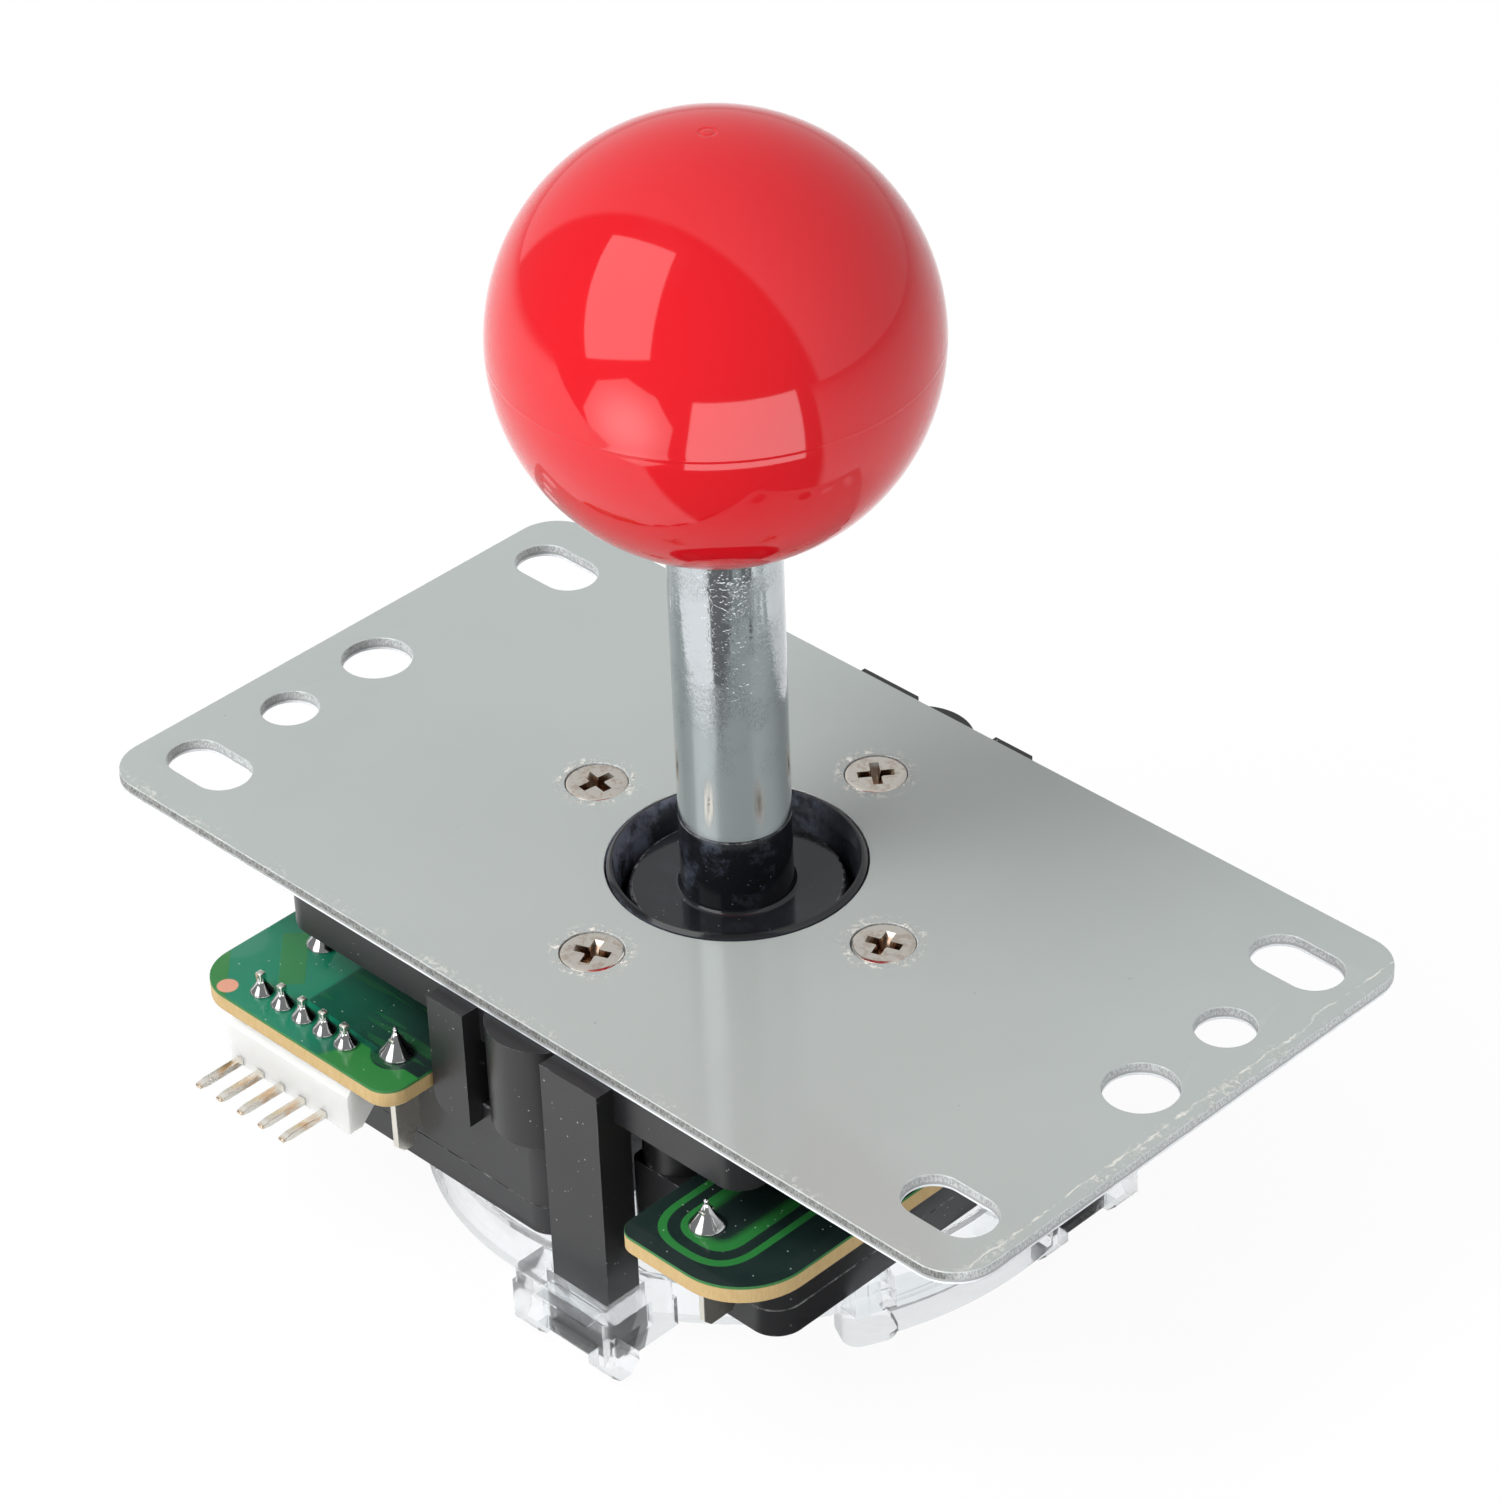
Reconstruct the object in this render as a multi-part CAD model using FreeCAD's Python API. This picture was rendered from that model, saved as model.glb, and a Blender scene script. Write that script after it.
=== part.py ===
"""Ball-top arcade lever: a plate-mounted, spring-centred stick over four microswitches.

Units are millimetres. The lever stands on +Z, and the origin is on its axis at the plate's top face.
The plate is long in X. The pin header points to -Y. Each side of the housing repeats every 90 degrees
about Z, so side features are drawn once for the -Y side, called the front, and turned into place.
"""
import FreeCAD, Part
import math
import os
from FreeCAD import Vector

os.makedirs("parts", exist_ok=True)

# Fits shared by all pieces
flat_gap = 0.1
seat_gap = 0.02
running_gap = 0.05
socket_gap = 0.1
side_gap = 0.3
rounding_limit = 0.45

# Mounting plate
plate_length = 97.4
plate_width = 52.7
plate_thickness = 1.2
plate_corner_radius = 4.0
slot_end_margin = 6.7
slot_side_margin = 6.35
slot_length = 8.3
slot_width = 5.0
large_hole_margin = 5.4
large_hole_diameter = 6.1
small_hole_margin = 5.5
small_hole_y = 10.0
small_hole_diameter = 5.0
collar_hole_diameter = 21.5

# Plate screws
screw_circle_radius = 16.3
screw_head_diameter = 5.2
screw_head_height = 1.1
screw_head_rim = 0.2
screw_shank_diameter = 2.6
screw_length = 8.0
recess_length = 3.3
recess_width = 0.95
recess_depth = 0.7
screw_turn_start = 20
screw_turn_step = 31

# Lever and ball
tilt_limit = 8.0
ball_diameter = 35.0
ball_centre_height = 49.0
ball_flat_diameter = 11.0
ball_bore_depth = 12.6
insert_diameter = 8.6
insert_groove_depth = 0.35
insert_groove_width = 1.2
insert_groove_count = 3
stud_diameter = 5.8
stud_length = 10.5
shaft_diameter = 9.2
shaft_chamfer = 0.5
stud_chamfer = 0.4
spindle_chamfer = 0.3
spindle_diameter = 6.0
spindle_bottom = -27.2
clip_groove_depth = 0.7
slot_cut_width = 0.9
slot_cut_depth = 0.8

# Pivot and its socket
pivot_radius = 9.5
pivot_centre = -5.8
pivot_dish = -2.0
pivot_foot = -10.8
pivot_relief_depth = 1.6
pivot_relief_radius = 6.2
neck_top = 5.1
neck_fillet = 0.5
flare_steps = 6
pivot_relief_slope = 1.0
socket_mouth_radius = 7.5
socket_floor = -12.3
socket_wall = 2.4
collar_wall = 1.0
collar_height = 0.3
socket_step = -9.3
socket_foot_radius = 10.2
socket_chamfer = 0.4
collar_chamfer = 0.3
collar_flare = 0.5
collar_flare_depth = 1.6

# Housing flange and side features, given for the front
flange_size = 52.4
flange_thickness = 3.4
flange_corner_radius = 2.5
screw_boss_radius = 3.0
screw_boss_bottom = -9.3
screw_rib_width = 3.6
side_face = 28.0
slat_left = -6.8
slat_width = 4.1
slat_bottom = -12.4
slat_corner_radius = 1.6
web_lap = 1.5
leg_centre = 9.3
leg_width = 6.3
leg_thickness = 3.4
leg_bottom = -27.4
barb_reach = 1.2
barb_height = 1.3
barb_tip = 0.5
barb_inset = 0.8
leg_tip_thickness = 2.4
rest_boss_radius = 4.7
rest_post_radius = 3.0
locating_pin_diameter = 2.9
locating_pin_length = 8.5

# Circuit board
board_thickness = 1.6
board_half_size = 31.3
board_outer_radius = 7.0
board_header_radius = 4.0
board_notch_radius = 2.2
board_end_radius = 1.5
board_core_radius = 1.0
board_core_half = 16.0
board_neck_length = 6.0
tail_hole_clearance = 0.15
board_tab_inner = 7.35
board_tab_outer = 17.5
header_tab_reach = 1.2

# Microswitches, given for the front one: u runs along X and v along Y
switch_thickness = 10.3
switch_depth = 15.9
switch_length = 28.0
switch_outer_face = 26.5
switch_top = -10.9
plunger_end = 4.8
switch_wall = 1.2
switch_corner_radius = 0.8
switch_round_end_radius = 2.6
cover_thickness = 2.8
hole_diameter = 3.1
hole_wall = 1.1
open_hole_inset_u = 2.8
open_hole_inset_v = 2.9
hole_spacing_u = 22.2
hole_spacing_v = 10.3
plunger_width = 3.0
plunger_height = 2.8
plunger_reach = 1.2
plunger_shoulder = 0.8
plunger_stem = 3.2
plunger_collar_length = 1.2
blade_width = 3.4
blade_thickness = 0.25
blade_left = -17.5
blade_right = 2.4
blade_window_width = 1.2
blade_window_left = 3.0
blade_window_right = 6.0
contact_radius = 1.1
contact_height = 0.7
contact_inset = 1.3
terminal_thickness = 0.6
terminal_height = 8.2
terminal_margin = 0.4
terminal_root = 2.6
terminal_root_top = 2.0
terminal_root_bottom = 6.6
terminal_step = 0.2
terminal_corner = 0.7
terminal_tail_width = 1.2
terminal_tail_height = 1.6
common_terminal_v = -22.3
open_terminal_u = -11.0
common_tail_offset = 3.0
open_tail_offset = 1.5

# Solder joints
solder_radius = 1.5
solder_height = 2.3
header_solder_radius = 1.05
header_solder_height = 1.7
solder_tip_radius = 0.5
solder_waist_share = 0.45
solder_waist_height_share = 0.4
solder_foot_share = 0.07

# Pin header
header_pins = 5
header_pin_spacing = 2.54
header_centre_x = -20.0
header_pin_row_y = -30.0
header_front_y = -33.0
header_back_y = -28.6
header_height = 4.2
header_left_margin = 1.2
header_right_margin = 3.2
header_chamfer = 0.5
header_base_depth = 1.3
header_back_height = 1.2
header_pin_size = 0.64
header_pin_axis_depth = 3.8
header_pin_tip_y = -37.6
header_pin_taper = 0.8
header_pin_bend = 0.4
header_pin_top = 0.3
header_pin_blunt = 0.26

# Spring seat, return spring and actuator
seat_inner_radius = 5.0
seat_outer_radius = 8.8
seat_thickness = 0.8
spring_wire = 1.1
spring_mean_radius = 5.1
spring_turns = 4.5
drum_radius = 7.3
drum_top = -14.9
drum_floor = -21.0
drum_bottom = -22.0
drum_wall = 1.1
drum_rim_chamfer = 0.3
drum_foot_chamfer = 0.5
gate_collar_radius = 4.75
gate_collar_bottom = -25.7
clip_thickness = 0.6
clip_radius = 4.3
clip_mouth_width = 3.2
clip_relief_radius = 0.85
clip_relief_offset = 0.5
clip_relief_angles = (35, 145)

# Clear gate
gate_deck_thickness = 1.6
gate_radius = 27.0
gate_skirt_wall = 1.2
gate_skirt_bottom = -26.0
gate_seat_wall = 1.6
gate_seat_floor_thickness = 1.2
gate_seat_ledge = 3.0
gate_plate_radius = 14.4
gate_plate_thickness = 3.0
gate_square_corner_radius = 1.5
gate_plate_key_width = 3.0
gate_plate_key_reach = 1.2
loop_half_width = 5.6
loop_arm_width = 2.7
loop_back_reach = 7.4
loop_corner_radius = 0.8
loop_outer_face = 30.3
loop_bar_thickness = 1.8
loop_bar_top = -23.2
loop_bar_bottom = -26.0
loop_bottom = -27.8
loop_foot_length = 3.0
loop_foot_chamfer = 0.9
loop_bar_inset = 0.5
loop_top = -21.8
loop_table_thickness = 1.3
wing_radius = 30.9
wing_wall = 1.4
wing_start = -30.5
wing_bottom = -25.8
wing_block_width = 4.6
wing_block_depth = 4.2
wing_block_wall = 1.2
wing_block_foot = 0.6
wing_block_radius = 1.4
wing_pocket_depth = 3.0

# Places worked out from the sizes above
plate_underside = -plate_thickness
flange_bottom = plate_underside - flange_thickness
socket_radius = pivot_radius + socket_gap
collar_radius = socket_radius + collar_wall
board_top = switch_top + board_thickness
switch_bottom = switch_top - switch_thickness
switch_left = plunger_end - switch_length
switch_inner_face = switch_outer_face - switch_depth
switch_seam = switch_bottom + cover_thickness
plunger_level = (switch_top + switch_bottom) / 2
plunger_stem_end = -switch_inner_face - switch_wall - plunger_stem
open_hole = Vector(plunger_end - open_hole_inset_u, open_hole_inset_v - switch_outer_face, 0)
far_hole = Vector(open_hole.x - hole_spacing_u, open_hole.y + hole_spacing_v, 0)
seat_bottom = socket_floor - seat_thickness
gate_deck_bottom = switch_bottom - gate_deck_thickness
wing_top = switch_bottom - flat_gap
gate_plate_bottom = gate_deck_bottom - gate_plate_thickness
gate_seat_radius = gate_plate_radius + flat_gap
gate_arm = pivot_centre - gate_plate_bottom
tilt = math.radians(tilt_limit)
gate_square_half = gate_collar_radius * math.cos(tilt) + gate_arm * math.sin(tilt) + flat_gap
leg_left = leg_centre - leg_width / 2
leg_right = leg_centre + leg_width / 2
up = Vector(0, 0, 1)
side_names = ("front", "right", "back", "left")


def block(x0, x1, y0, y1, z0, z1):
    """A box between two opposite corners."""
    return Part.makeBox(x1 - x0, y1 - y0, z1 - z0, Vector(x0, y0, z0))


def rod(radius, z0, z1, x=0.0, y=0.0):
    """An upright cylinder."""
    return Part.makeCylinder(radius, z1 - z0, Vector(x, y, z0), up)


def tube(outer, inner, z0, z1):
    """An upright ring about the lever's axis."""
    return rod(outer, z0, z1).cut(rod(inner, z0 - 1, z1 + 1))


def prism(points, direction):
    """A closed outline of straight runs, drawn out along a direction."""
    wire = Part.makePolygon([Vector(*point) for point in points] + [Vector(*points[0])])
    return Part.Face(wire).extrude(direction)


def turned(profile):
    """A closed outline of (radius, height) pairs, turned about the lever's axis."""
    points = [Vector(radius, 0, height) for radius, height in profile]
    wire = Part.makePolygon(points + [points[0]])
    return Part.Face(wire).revolve(Vector(0, 0, 0), up, 360)


def rounded_block(x0, x1, y0, y1, z0, z1, radius):
    """A box whose four upright edges are rounded alike."""
    return cornered_block(x0, x1, y0, y1, z0, z1, (radius, radius, radius, radius))


def cornered_block(x0, x1, y0, y1, z0, z1, radii):
    """A box with its own radius on each upright edge: front right, back right, back left, front left."""
    largest = rounding_limit * min(x1 - x0, y1 - y0)
    reach = [min(radius, largest) for radius in radii]
    corners = ((x1 - reach[0], y0 + reach[0], 270), (x1 - reach[1], y1 - reach[1], 0),
               (x0 + reach[2], y1 - reach[2], 90), (x0 + reach[3], y0 + reach[3], 180))
    arcs = [Part.makeCircle(radius, Vector(x, y, z0), up, start, start + 90)
            for radius, (x, y, start) in zip(reach, corners)]
    edges = []
    for arc, following in zip(arcs, arcs[1:] + arcs[:1]):
        edges.append(arc)
        edges.append(Part.makeLine(arc.Vertexes[-1].Point, following.Vertexes[0].Point))
    return Part.Face(Part.Wire(edges)).extrude(Vector(0, 0, z1 - z0))


def slot(x, y, length, width, z0, z1):
    """An upright cutter for a slot with round ends, long in X."""
    half = (length - width) / 2
    radius = width / 2
    middle = block(x - half, x + half, y - radius, y + radius, z0, z1)
    return middle.fuse([rod(radius, z0, z1, x - half, y), rod(radius, z0, z1, x + half, y)])


def around(shape, quarter):
    """A copy of a front feature, turned to the given side."""
    copy = shape.copy()
    copy.rotate(Vector(0, 0, 0), up, 90 * quarter)
    return copy


def on_all_sides(shape):
    """Four copies of a front feature, one for each side."""
    return [around(shape, quarter) for quarter in range(4)]


def joined(shapes):
    """One solid from overlapping shapes, with split faces merged."""
    return shapes[0].fuse(shapes[1:]).removeSplitter()


def save(name, shape):
    """Write one piece, or one group of like pieces, under its name."""
    solids = shape.Solids
    for solid in solids:
        if not solid.isValid() or solid.Volume <= 0:
            raise ValueError(name + " isn't a sound solid")
    result = solids[0] if len(solids) == 1 else Part.makeCompound(solids)
    result.exportStep("parts/" + name + ".step")
    print(name, len(solids), round(sum(solid.Volume for solid in solids), 1))


def screw_places():
    """The four screw axes, on the plate's two centre lines."""
    return [Vector(screw_circle_radius * math.cos(math.radians(angle)),
                   screw_circle_radius * math.sin(math.radians(angle)), 0) for angle in range(0, 360, 90)]


def countersink(gap):
    """A screw's head and shank, grown by a gap, with its head flush at the plate's top face."""
    head = screw_head_diameter / 2 + gap
    shank = screw_shank_diameter / 2 + gap
    return turned([(0, 0), (head, 0), (head, -screw_head_rim), (shank, -screw_head_height),
                   (shank, -screw_length), (0, -screw_length - gap)])


def mounting_plate():
    """The punched steel plate: slots, two sizes of round hole, the collar's hole and countersinks."""
    half_length = plate_length / 2
    half_width = plate_width / 2
    plate = rounded_block(-half_length, half_length, -half_width, half_width,
                          plate_underside, 0, plate_corner_radius)
    low = plate_underside - 1
    cutters = [rod(collar_hole_diameter / 2, low, 1)]
    for side in (-1, 1):
        cutters.append(rod(large_hole_diameter / 2, low, 1, side * (half_length - large_hole_margin), 0))
        cutters.append(rod(small_hole_diameter / 2, low, 1,
                           side * (half_length - small_hole_margin), side * small_hole_y))
        for end in (-1, 1):
            cutters.append(slot(side * (half_length - slot_end_margin),
                                end * (half_width - slot_side_margin), slot_length, slot_width, low, 1))
    for place in screw_places():
        cutters.append(countersink(flat_gap / 2).translated(place))
    return plate.cut(cutters)


def plate_screws():
    """Four countersunk screws with cross recesses."""
    cross = [block(-recess_length / 2, recess_length / 2, -recess_width / 2, recess_width / 2,
                   -recess_depth, 1),
             block(-recess_width / 2, recess_width / 2, -recess_length / 2, recess_length / 2,
                   -recess_depth, 1)]
    screw = countersink(0).cut(cross)
    screws = []
    for number, place in enumerate(screw_places()):
        turned_screw = screw.copy()
        turned_screw.rotate(Vector(0, 0, 0), up, screw_turn_start + screw_turn_step * number)
        screws.append(turned_screw.translated(place))
    return Part.makeCompound(screws)


def ball_top():
    """The moulded ball, with a small flat and the insert's blind bore underneath."""
    radius = ball_diameter / 2
    flat = math.sqrt(radius ** 2 - (ball_flat_diameter / 2) ** 2)
    flat_height = ball_centre_height - flat
    ball = Part.makeSphere(radius, Vector(0, 0, ball_centre_height))
    below = block(-radius, radius, -radius, radius, flat_height - radius, flat_height)
    bore = rod(insert_diameter / 2 + seat_gap, flat_height - 1, flat_height + ball_bore_depth)
    return ball.cut([below, bore]), flat_height


def ball_insert(flat_height):
    """The brass bush in the ball, with anchoring grooves round it."""
    radius = insert_diameter / 2
    top = flat_height + ball_bore_depth - flat_gap
    bush = tube(radius, stud_diameter / 2 + seat_gap, flat_height, top)
    pitch = (top - flat_height) / (insert_groove_count + 1)
    grooves = []
    for number in range(insert_groove_count):
        middle = flat_height + pitch * (number + 1)
        grooves.append(tube(radius + 1, radius - insert_groove_depth,
                            middle - insert_groove_width / 2, middle + insert_groove_width / 2))
    return bush.cut(grooves)


def shaft(flat_height):
    """The stepped lever: stud, thick shaft, thin spindle, clip groove and screwdriver slot."""
    thick = shaft_diameter / 2
    thin = spindle_diameter / 2
    stud = stud_diameter / 2
    shoulder = neck_top + running_gap
    stud_top = flat_height + stud_length
    groove = thin - clip_groove_depth
    groove_top = gate_collar_bottom - running_gap
    groove_bottom = groove_top - clip_thickness - flat_gap
    body = turned([(0, stud_top), (stud - stud_chamfer, stud_top), (stud, stud_top - stud_chamfer),
                   (stud, flat_height), (thick - shaft_chamfer, flat_height),
                   (thick, flat_height - shaft_chamfer), (thick, shoulder), (thin, shoulder),
                   (thin, groove_top), (groove, groove_top), (groove, groove_bottom), (thin, groove_bottom),
                   (thin, spindle_bottom + spindle_chamfer), (thin - spindle_chamfer, spindle_bottom),
                   (0, spindle_bottom)])
    driver_slot = block(-thin - 1, thin + 1, -slot_cut_width / 2, slot_cut_width / 2,
                        spindle_bottom - 1, spindle_bottom + slot_cut_depth)
    return body.cut(driver_slot)


def pivot():
    """The ball-shaped pivot: a band of a sphere with a dished top, a neck and the spindle's bore."""
    sphere = Part.makeSphere(pivot_radius, Vector(0, 0, pivot_centre))
    band = sphere.common(rod(pivot_radius + 1, pivot_foot, pivot_dish))
    neck_radius = shaft_diameter / 2
    neck = rod(neck_radius, pivot_dish - 1, neck_top)
    flare = [(0, pivot_dish - 1), (neck_radius + neck_fillet, pivot_dish - 1)]
    for number in range(flare_steps + 1):
        angle = math.pi / 2 * number / flare_steps
        flare.append((neck_radius + neck_fillet * (1 - math.sin(angle)),
                      pivot_dish + neck_fillet * (1 - math.cos(angle))))
    flare.append((0, pivot_dish + neck_fillet))
    relief = turned([(0, pivot_foot - 1), (pivot_relief_radius, pivot_foot - 1),
                     (pivot_relief_radius, pivot_foot),
                     (pivot_relief_radius - pivot_relief_slope, pivot_foot + pivot_relief_depth),
                     (0, pivot_foot + pivot_relief_depth)])
    bore = rod(spindle_diameter / 2 + running_gap, pivot_foot - 1, neck_top + 1)
    return joined([band, neck, turned(flare)]).cut([relief, bore])


def housing_side():
    """What the housing carries on its front: slat, clip leg, two rests and their locating pins."""
    inner = switch_outer_face + running_gap
    slat = block(slat_left, slat_left + slat_width, -side_face, -inner, slat_bottom, plate_underside)
    lower_edge = [edge for edge in slat.Edges
                  if all(abs(vertex.Z - slat_bottom) < 1e-6 and abs(vertex.X - slat_left) < 1e-6
                         for vertex in edge.Vertexes)]
    slat = slat.makeFillet(min(slat_corner_radius, rounding_limit * slat_width), lower_edge)
    web = block(slat_left, slat_left + slat_width, -side_face, -flange_size / 2 + web_lap,
                switch_top + flat_gap, plate_underside)
    face = -side_face
    heel = leg_bottom + barb_height
    leg = prism([(leg_left, face, plate_underside), (leg_left, face, leg_bottom),
                 (leg_left, face + leg_tip_thickness, leg_bottom), (leg_left, face + leg_thickness, heel),
                 (leg_left, face + leg_thickness, plate_underside)], Vector(leg_width, 0, 0))
    barb_left = leg_left + barb_inset
    barb = prism([(barb_left, face + barb_tip, heel), (barb_left, face - barb_reach, heel),
                  (barb_left, face - barb_tip, leg_bottom), (barb_left, face + barb_tip, leg_bottom)],
                 Vector(leg_width - 2 * barb_inset, 0, 0))
    boss = rod(rest_boss_radius, switch_top, plate_underside, open_hole.x, open_hole.y)
    far = around(rod(rest_post_radius, switch_top, plate_underside, far_hole.x, far_hole.y), 1)
    pin_radius = locating_pin_diameter / 2
    pin = rod(pin_radius, switch_top - locating_pin_length, switch_top + 1, open_hole.x, open_hole.y)
    far_pin = around(rod(pin_radius, switch_top - locating_pin_length, switch_top + 1,
                         far_hole.x, far_hole.y), 1)
    screw_boss = rod(screw_boss_radius, screw_boss_bottom, plate_underside, 0, -screw_circle_radius)
    rib = block(-screw_rib_width / 2, screw_rib_width / 2, -screw_circle_radius, -socket_radius - 1,
                screw_boss_bottom, plate_underside)
    return [slat, web, leg, barb, boss, far, pin, far_pin, screw_boss, rib]


def main_body():
    """The black housing: flange, collar, ball socket, and the features of its four sides."""
    half = flange_size / 2
    flange = rounded_block(-half, half, -half, half, flange_bottom, plate_underside, flange_corner_radius)
    wall = socket_radius + socket_wall
    outer = turned([(0, socket_floor), (socket_foot_radius - socket_chamfer, socket_floor),
                    (socket_foot_radius, socket_floor + socket_chamfer), (socket_foot_radius, socket_step),
                    (wall, socket_step), (wall, plate_underside), (collar_radius, plate_underside),
                    (collar_radius, collar_height - collar_chamfer),
                    (collar_radius - collar_chamfer, collar_height), (0, collar_height)])
    features = [around(feature, quarter) for feature in housing_side() for quarter in range(4)]
    body = joined([flange, outer] + features)
    flared = socket_radius + collar_flare
    hollow = [rod(socket_radius, pivot_centre, collar_height + 1),
              turned([(0, collar_height - collar_flare_depth),
                      (socket_radius, collar_height - collar_flare_depth), (flared, collar_height),
                      (flared, collar_height + 1), (0, collar_height + 1)]),
              Part.makeSphere(socket_radius, Vector(0, 0, pivot_centre)).common(
                  rod(socket_radius + 1, socket_floor - 1, pivot_centre + 1)),
              rod(socket_mouth_radius, socket_floor - 1, pivot_centre)]
    holes = [rod(screw_shank_diameter / 2 + running_gap, screw_boss_bottom - 1, 1, place.x, place.y)
             for place in screw_places()]
    return body.cut(hollow + holes)


def board_tab(extra, outer_radius):
    """One corner tab of the board, at the front left, with an optional extra reach to the front."""
    return cornered_block(-board_half_size, -board_tab_inner, -board_half_size - extra, -board_tab_outer,
                          switch_top, board_top,
                          (board_notch_radius, board_core_radius, board_end_radius, outer_radius))


def terminal_tails():
    """Where the front switch's two tails come up through the board."""
    return [Vector(switch_left - common_tail_offset, common_terminal_v, 0),
            Vector(open_terminal_u, -switch_outer_face - open_tail_offset, 0)]


def header_places():
    """The five header pins, in one row along X."""
    first = header_centre_x - header_pin_spacing * (header_pins - 1) / 2
    return [Vector(first + header_pin_spacing * number, header_pin_row_y, 0) for number in range(header_pins)]


def circuit_board():
    """The green board: a core round the socket, four corner tabs, and holes for every tail."""
    core = rounded_block(-board_core_half, board_core_half, -board_core_half, board_core_half,
                         switch_top, board_top, board_core_radius)
    neck_start = -(board_core_half + board_tab_outer) / 2
    neck = block(-board_core_half, -board_tab_inner, neck_start - board_neck_length / 2,
                 neck_start + board_neck_length / 2, switch_top, board_top)
    shapes = [core, board_tab(header_tab_reach, board_header_radius)]
    shapes += on_all_sides(neck)
    shapes += [around(board_tab(0, board_outer_radius), quarter) for quarter in (1, 2, 3)]
    low = switch_top - 1
    high = board_top + 1
    holes = [rod(socket_radius + socket_wall + side_gap, low, high)]
    for quarter in range(4):
        for place in terminal_tails():
            radius = terminal_tail_width / 2 + tail_hole_clearance
            holes.append(around(rod(radius, low, high, place.x, place.y), quarter))
    for place in header_places():
        holes.append(rod(header_pin_size / 2 * math.sqrt(2) + flat_gap / 2, low, high, place.x, place.y))
    return joined(shapes).cut(holes)


def solder_cone(place, radius, height, tail):
    """One solder joint: a hollow-sided cone on the board round a tail that it leaves room for."""
    waist = solder_tip_radius + (radius - solder_tip_radius) * solder_waist_share
    foot = solder_foot_share
    cone = turned([(0, board_top), (radius, board_top), (radius * (1 - foot), board_top + height * foot),
                   (waist, board_top + height * solder_waist_height_share),
                   (solder_tip_radius, board_top + height), (0, board_top + height)])
    return cone.translated(place).cut(tail)


def solder_joints():
    """Thirteen joints: two for each switch and one for each header pin."""
    joints = []
    for quarter in range(4):
        for place, tail in zip(terminal_tails(), (common_terminal(), open_terminal())):
            joints.append(around(solder_cone(place, solder_radius, solder_height, tail), quarter))
    for place, pin in zip(header_places(), header_pin_list()):
        joints.append(solder_cone(place, header_solder_radius, header_solder_height, pin))
    return Part.makeCompound(joints)


def header_pin_list():
    """Bent square pins with tapered tips, up through the board and out to the front."""
    half = header_pin_size / 2
    level = switch_top - header_pin_axis_depth
    top = board_top + header_solder_height + header_pin_top
    shoulder = header_pin_tip_y + header_pin_taper
    blunt = header_pin_blunt / 2
    pins = []
    for place in header_places():
        x = place.x - half
        near = place.y - half
        far = place.y + half
        pins.append(prism([(x, near, top), (x, far, top), (x, far, level - half + header_pin_bend),
                           (x, far - header_pin_bend, level - half), (x, shoulder, level - half),
                           (x, header_pin_tip_y, level - blunt), (x, header_pin_tip_y, level + blunt),
                           (x, shoulder, level + half), (x, near, level + half)],
                          Vector(header_pin_size, 0, 0)))
    return pins


def header_housing():
    """The moulded block that carries the header pins, cut away at a slope under its back."""
    places = header_places()
    left = places[0].x - header_left_margin
    right = places[-1].x + header_right_margin
    top = switch_top
    bottom = top - header_height
    level = top - header_pin_axis_depth
    shell = prism([(left, header_back_y, top), (left, header_front_y + header_chamfer, top),
                   (left, header_front_y, top - header_chamfer), (left, header_front_y, bottom),
                   (left, header_front_y + header_base_depth, bottom),
                   (left, header_back_y, top - header_back_height)], Vector(right - left, 0, 0))
    grown = header_pin_size / 2 + seat_gap
    channels = []
    for place in places:
        x0 = place.x - grown
        x1 = place.x + grown
        channels.append(block(x0, x1, header_front_y - 1, place.y + grown, level - grown, level + grown))
        channels.append(block(x0, x1, place.y - grown, place.y + grown, level - grown, top + 1))
    return shell.cut(channels)


def switch_hollow():
    """The chamber inside a switch, leaving walls round its two mounting holes."""
    left = switch_left + switch_wall
    right = plunger_end - switch_wall
    chamber = block(left, right, -switch_outer_face + switch_wall, -switch_inner_face - switch_wall,
                    switch_bottom + switch_wall, switch_top - switch_wall)
    towers = []
    for hole in (open_hole, far_hole):
        radius = hole_diameter / 2 + hole_wall
        towers.append(rod(radius, switch_bottom, switch_top, hole.x, hole.y))
    return chamber.cut(towers)


def switch_shell():
    """The whole outside of the front switch, before it is parted into case and cover."""
    middle = -(switch_outer_face + switch_inner_face) / 2
    outer_half = rounded_block(switch_left, plunger_end, -switch_outer_face, -switch_inner_face,
                               switch_bottom, switch_top, switch_round_end_radius)
    inner_half = rounded_block(switch_left, plunger_end, -switch_outer_face, -switch_inner_face,
                               switch_bottom, switch_top, switch_corner_radius)
    outer_half = outer_half.common(block(switch_left, plunger_end, -switch_outer_face, middle,
                                         switch_bottom, switch_top))
    inner_half = inner_half.common(block(switch_left, plunger_end, middle, -switch_inner_face,
                                         switch_bottom, switch_top))
    shell = joined([outer_half, inner_half])
    cutters = [switch_hollow()]
    for hole in (open_hole, far_hole):
        cutters.append(rod(hole_diameter / 2, switch_bottom - 1, switch_top + 1, hole.x, hole.y))
    half_width = plunger_width / 2 + flat_gap
    half_height = plunger_height / 2 + flat_gap
    cutters.append(block(-half_width, half_width, -switch_inner_face - switch_wall - 1,
                         -switch_inner_face + 1, plunger_level - half_height, plunger_level + half_height))
    cutters += [common_terminal(), open_terminal()]
    return shell.cut(cutters)


def switch_case():
    """The upper moulding of a switch, which holds the works."""
    keep = block(switch_left - 1, plunger_end + 1, -switch_outer_face - 1, -switch_inner_face + 1,
                 switch_seam, switch_top + 1)
    return switch_shell().common(keep)


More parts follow.
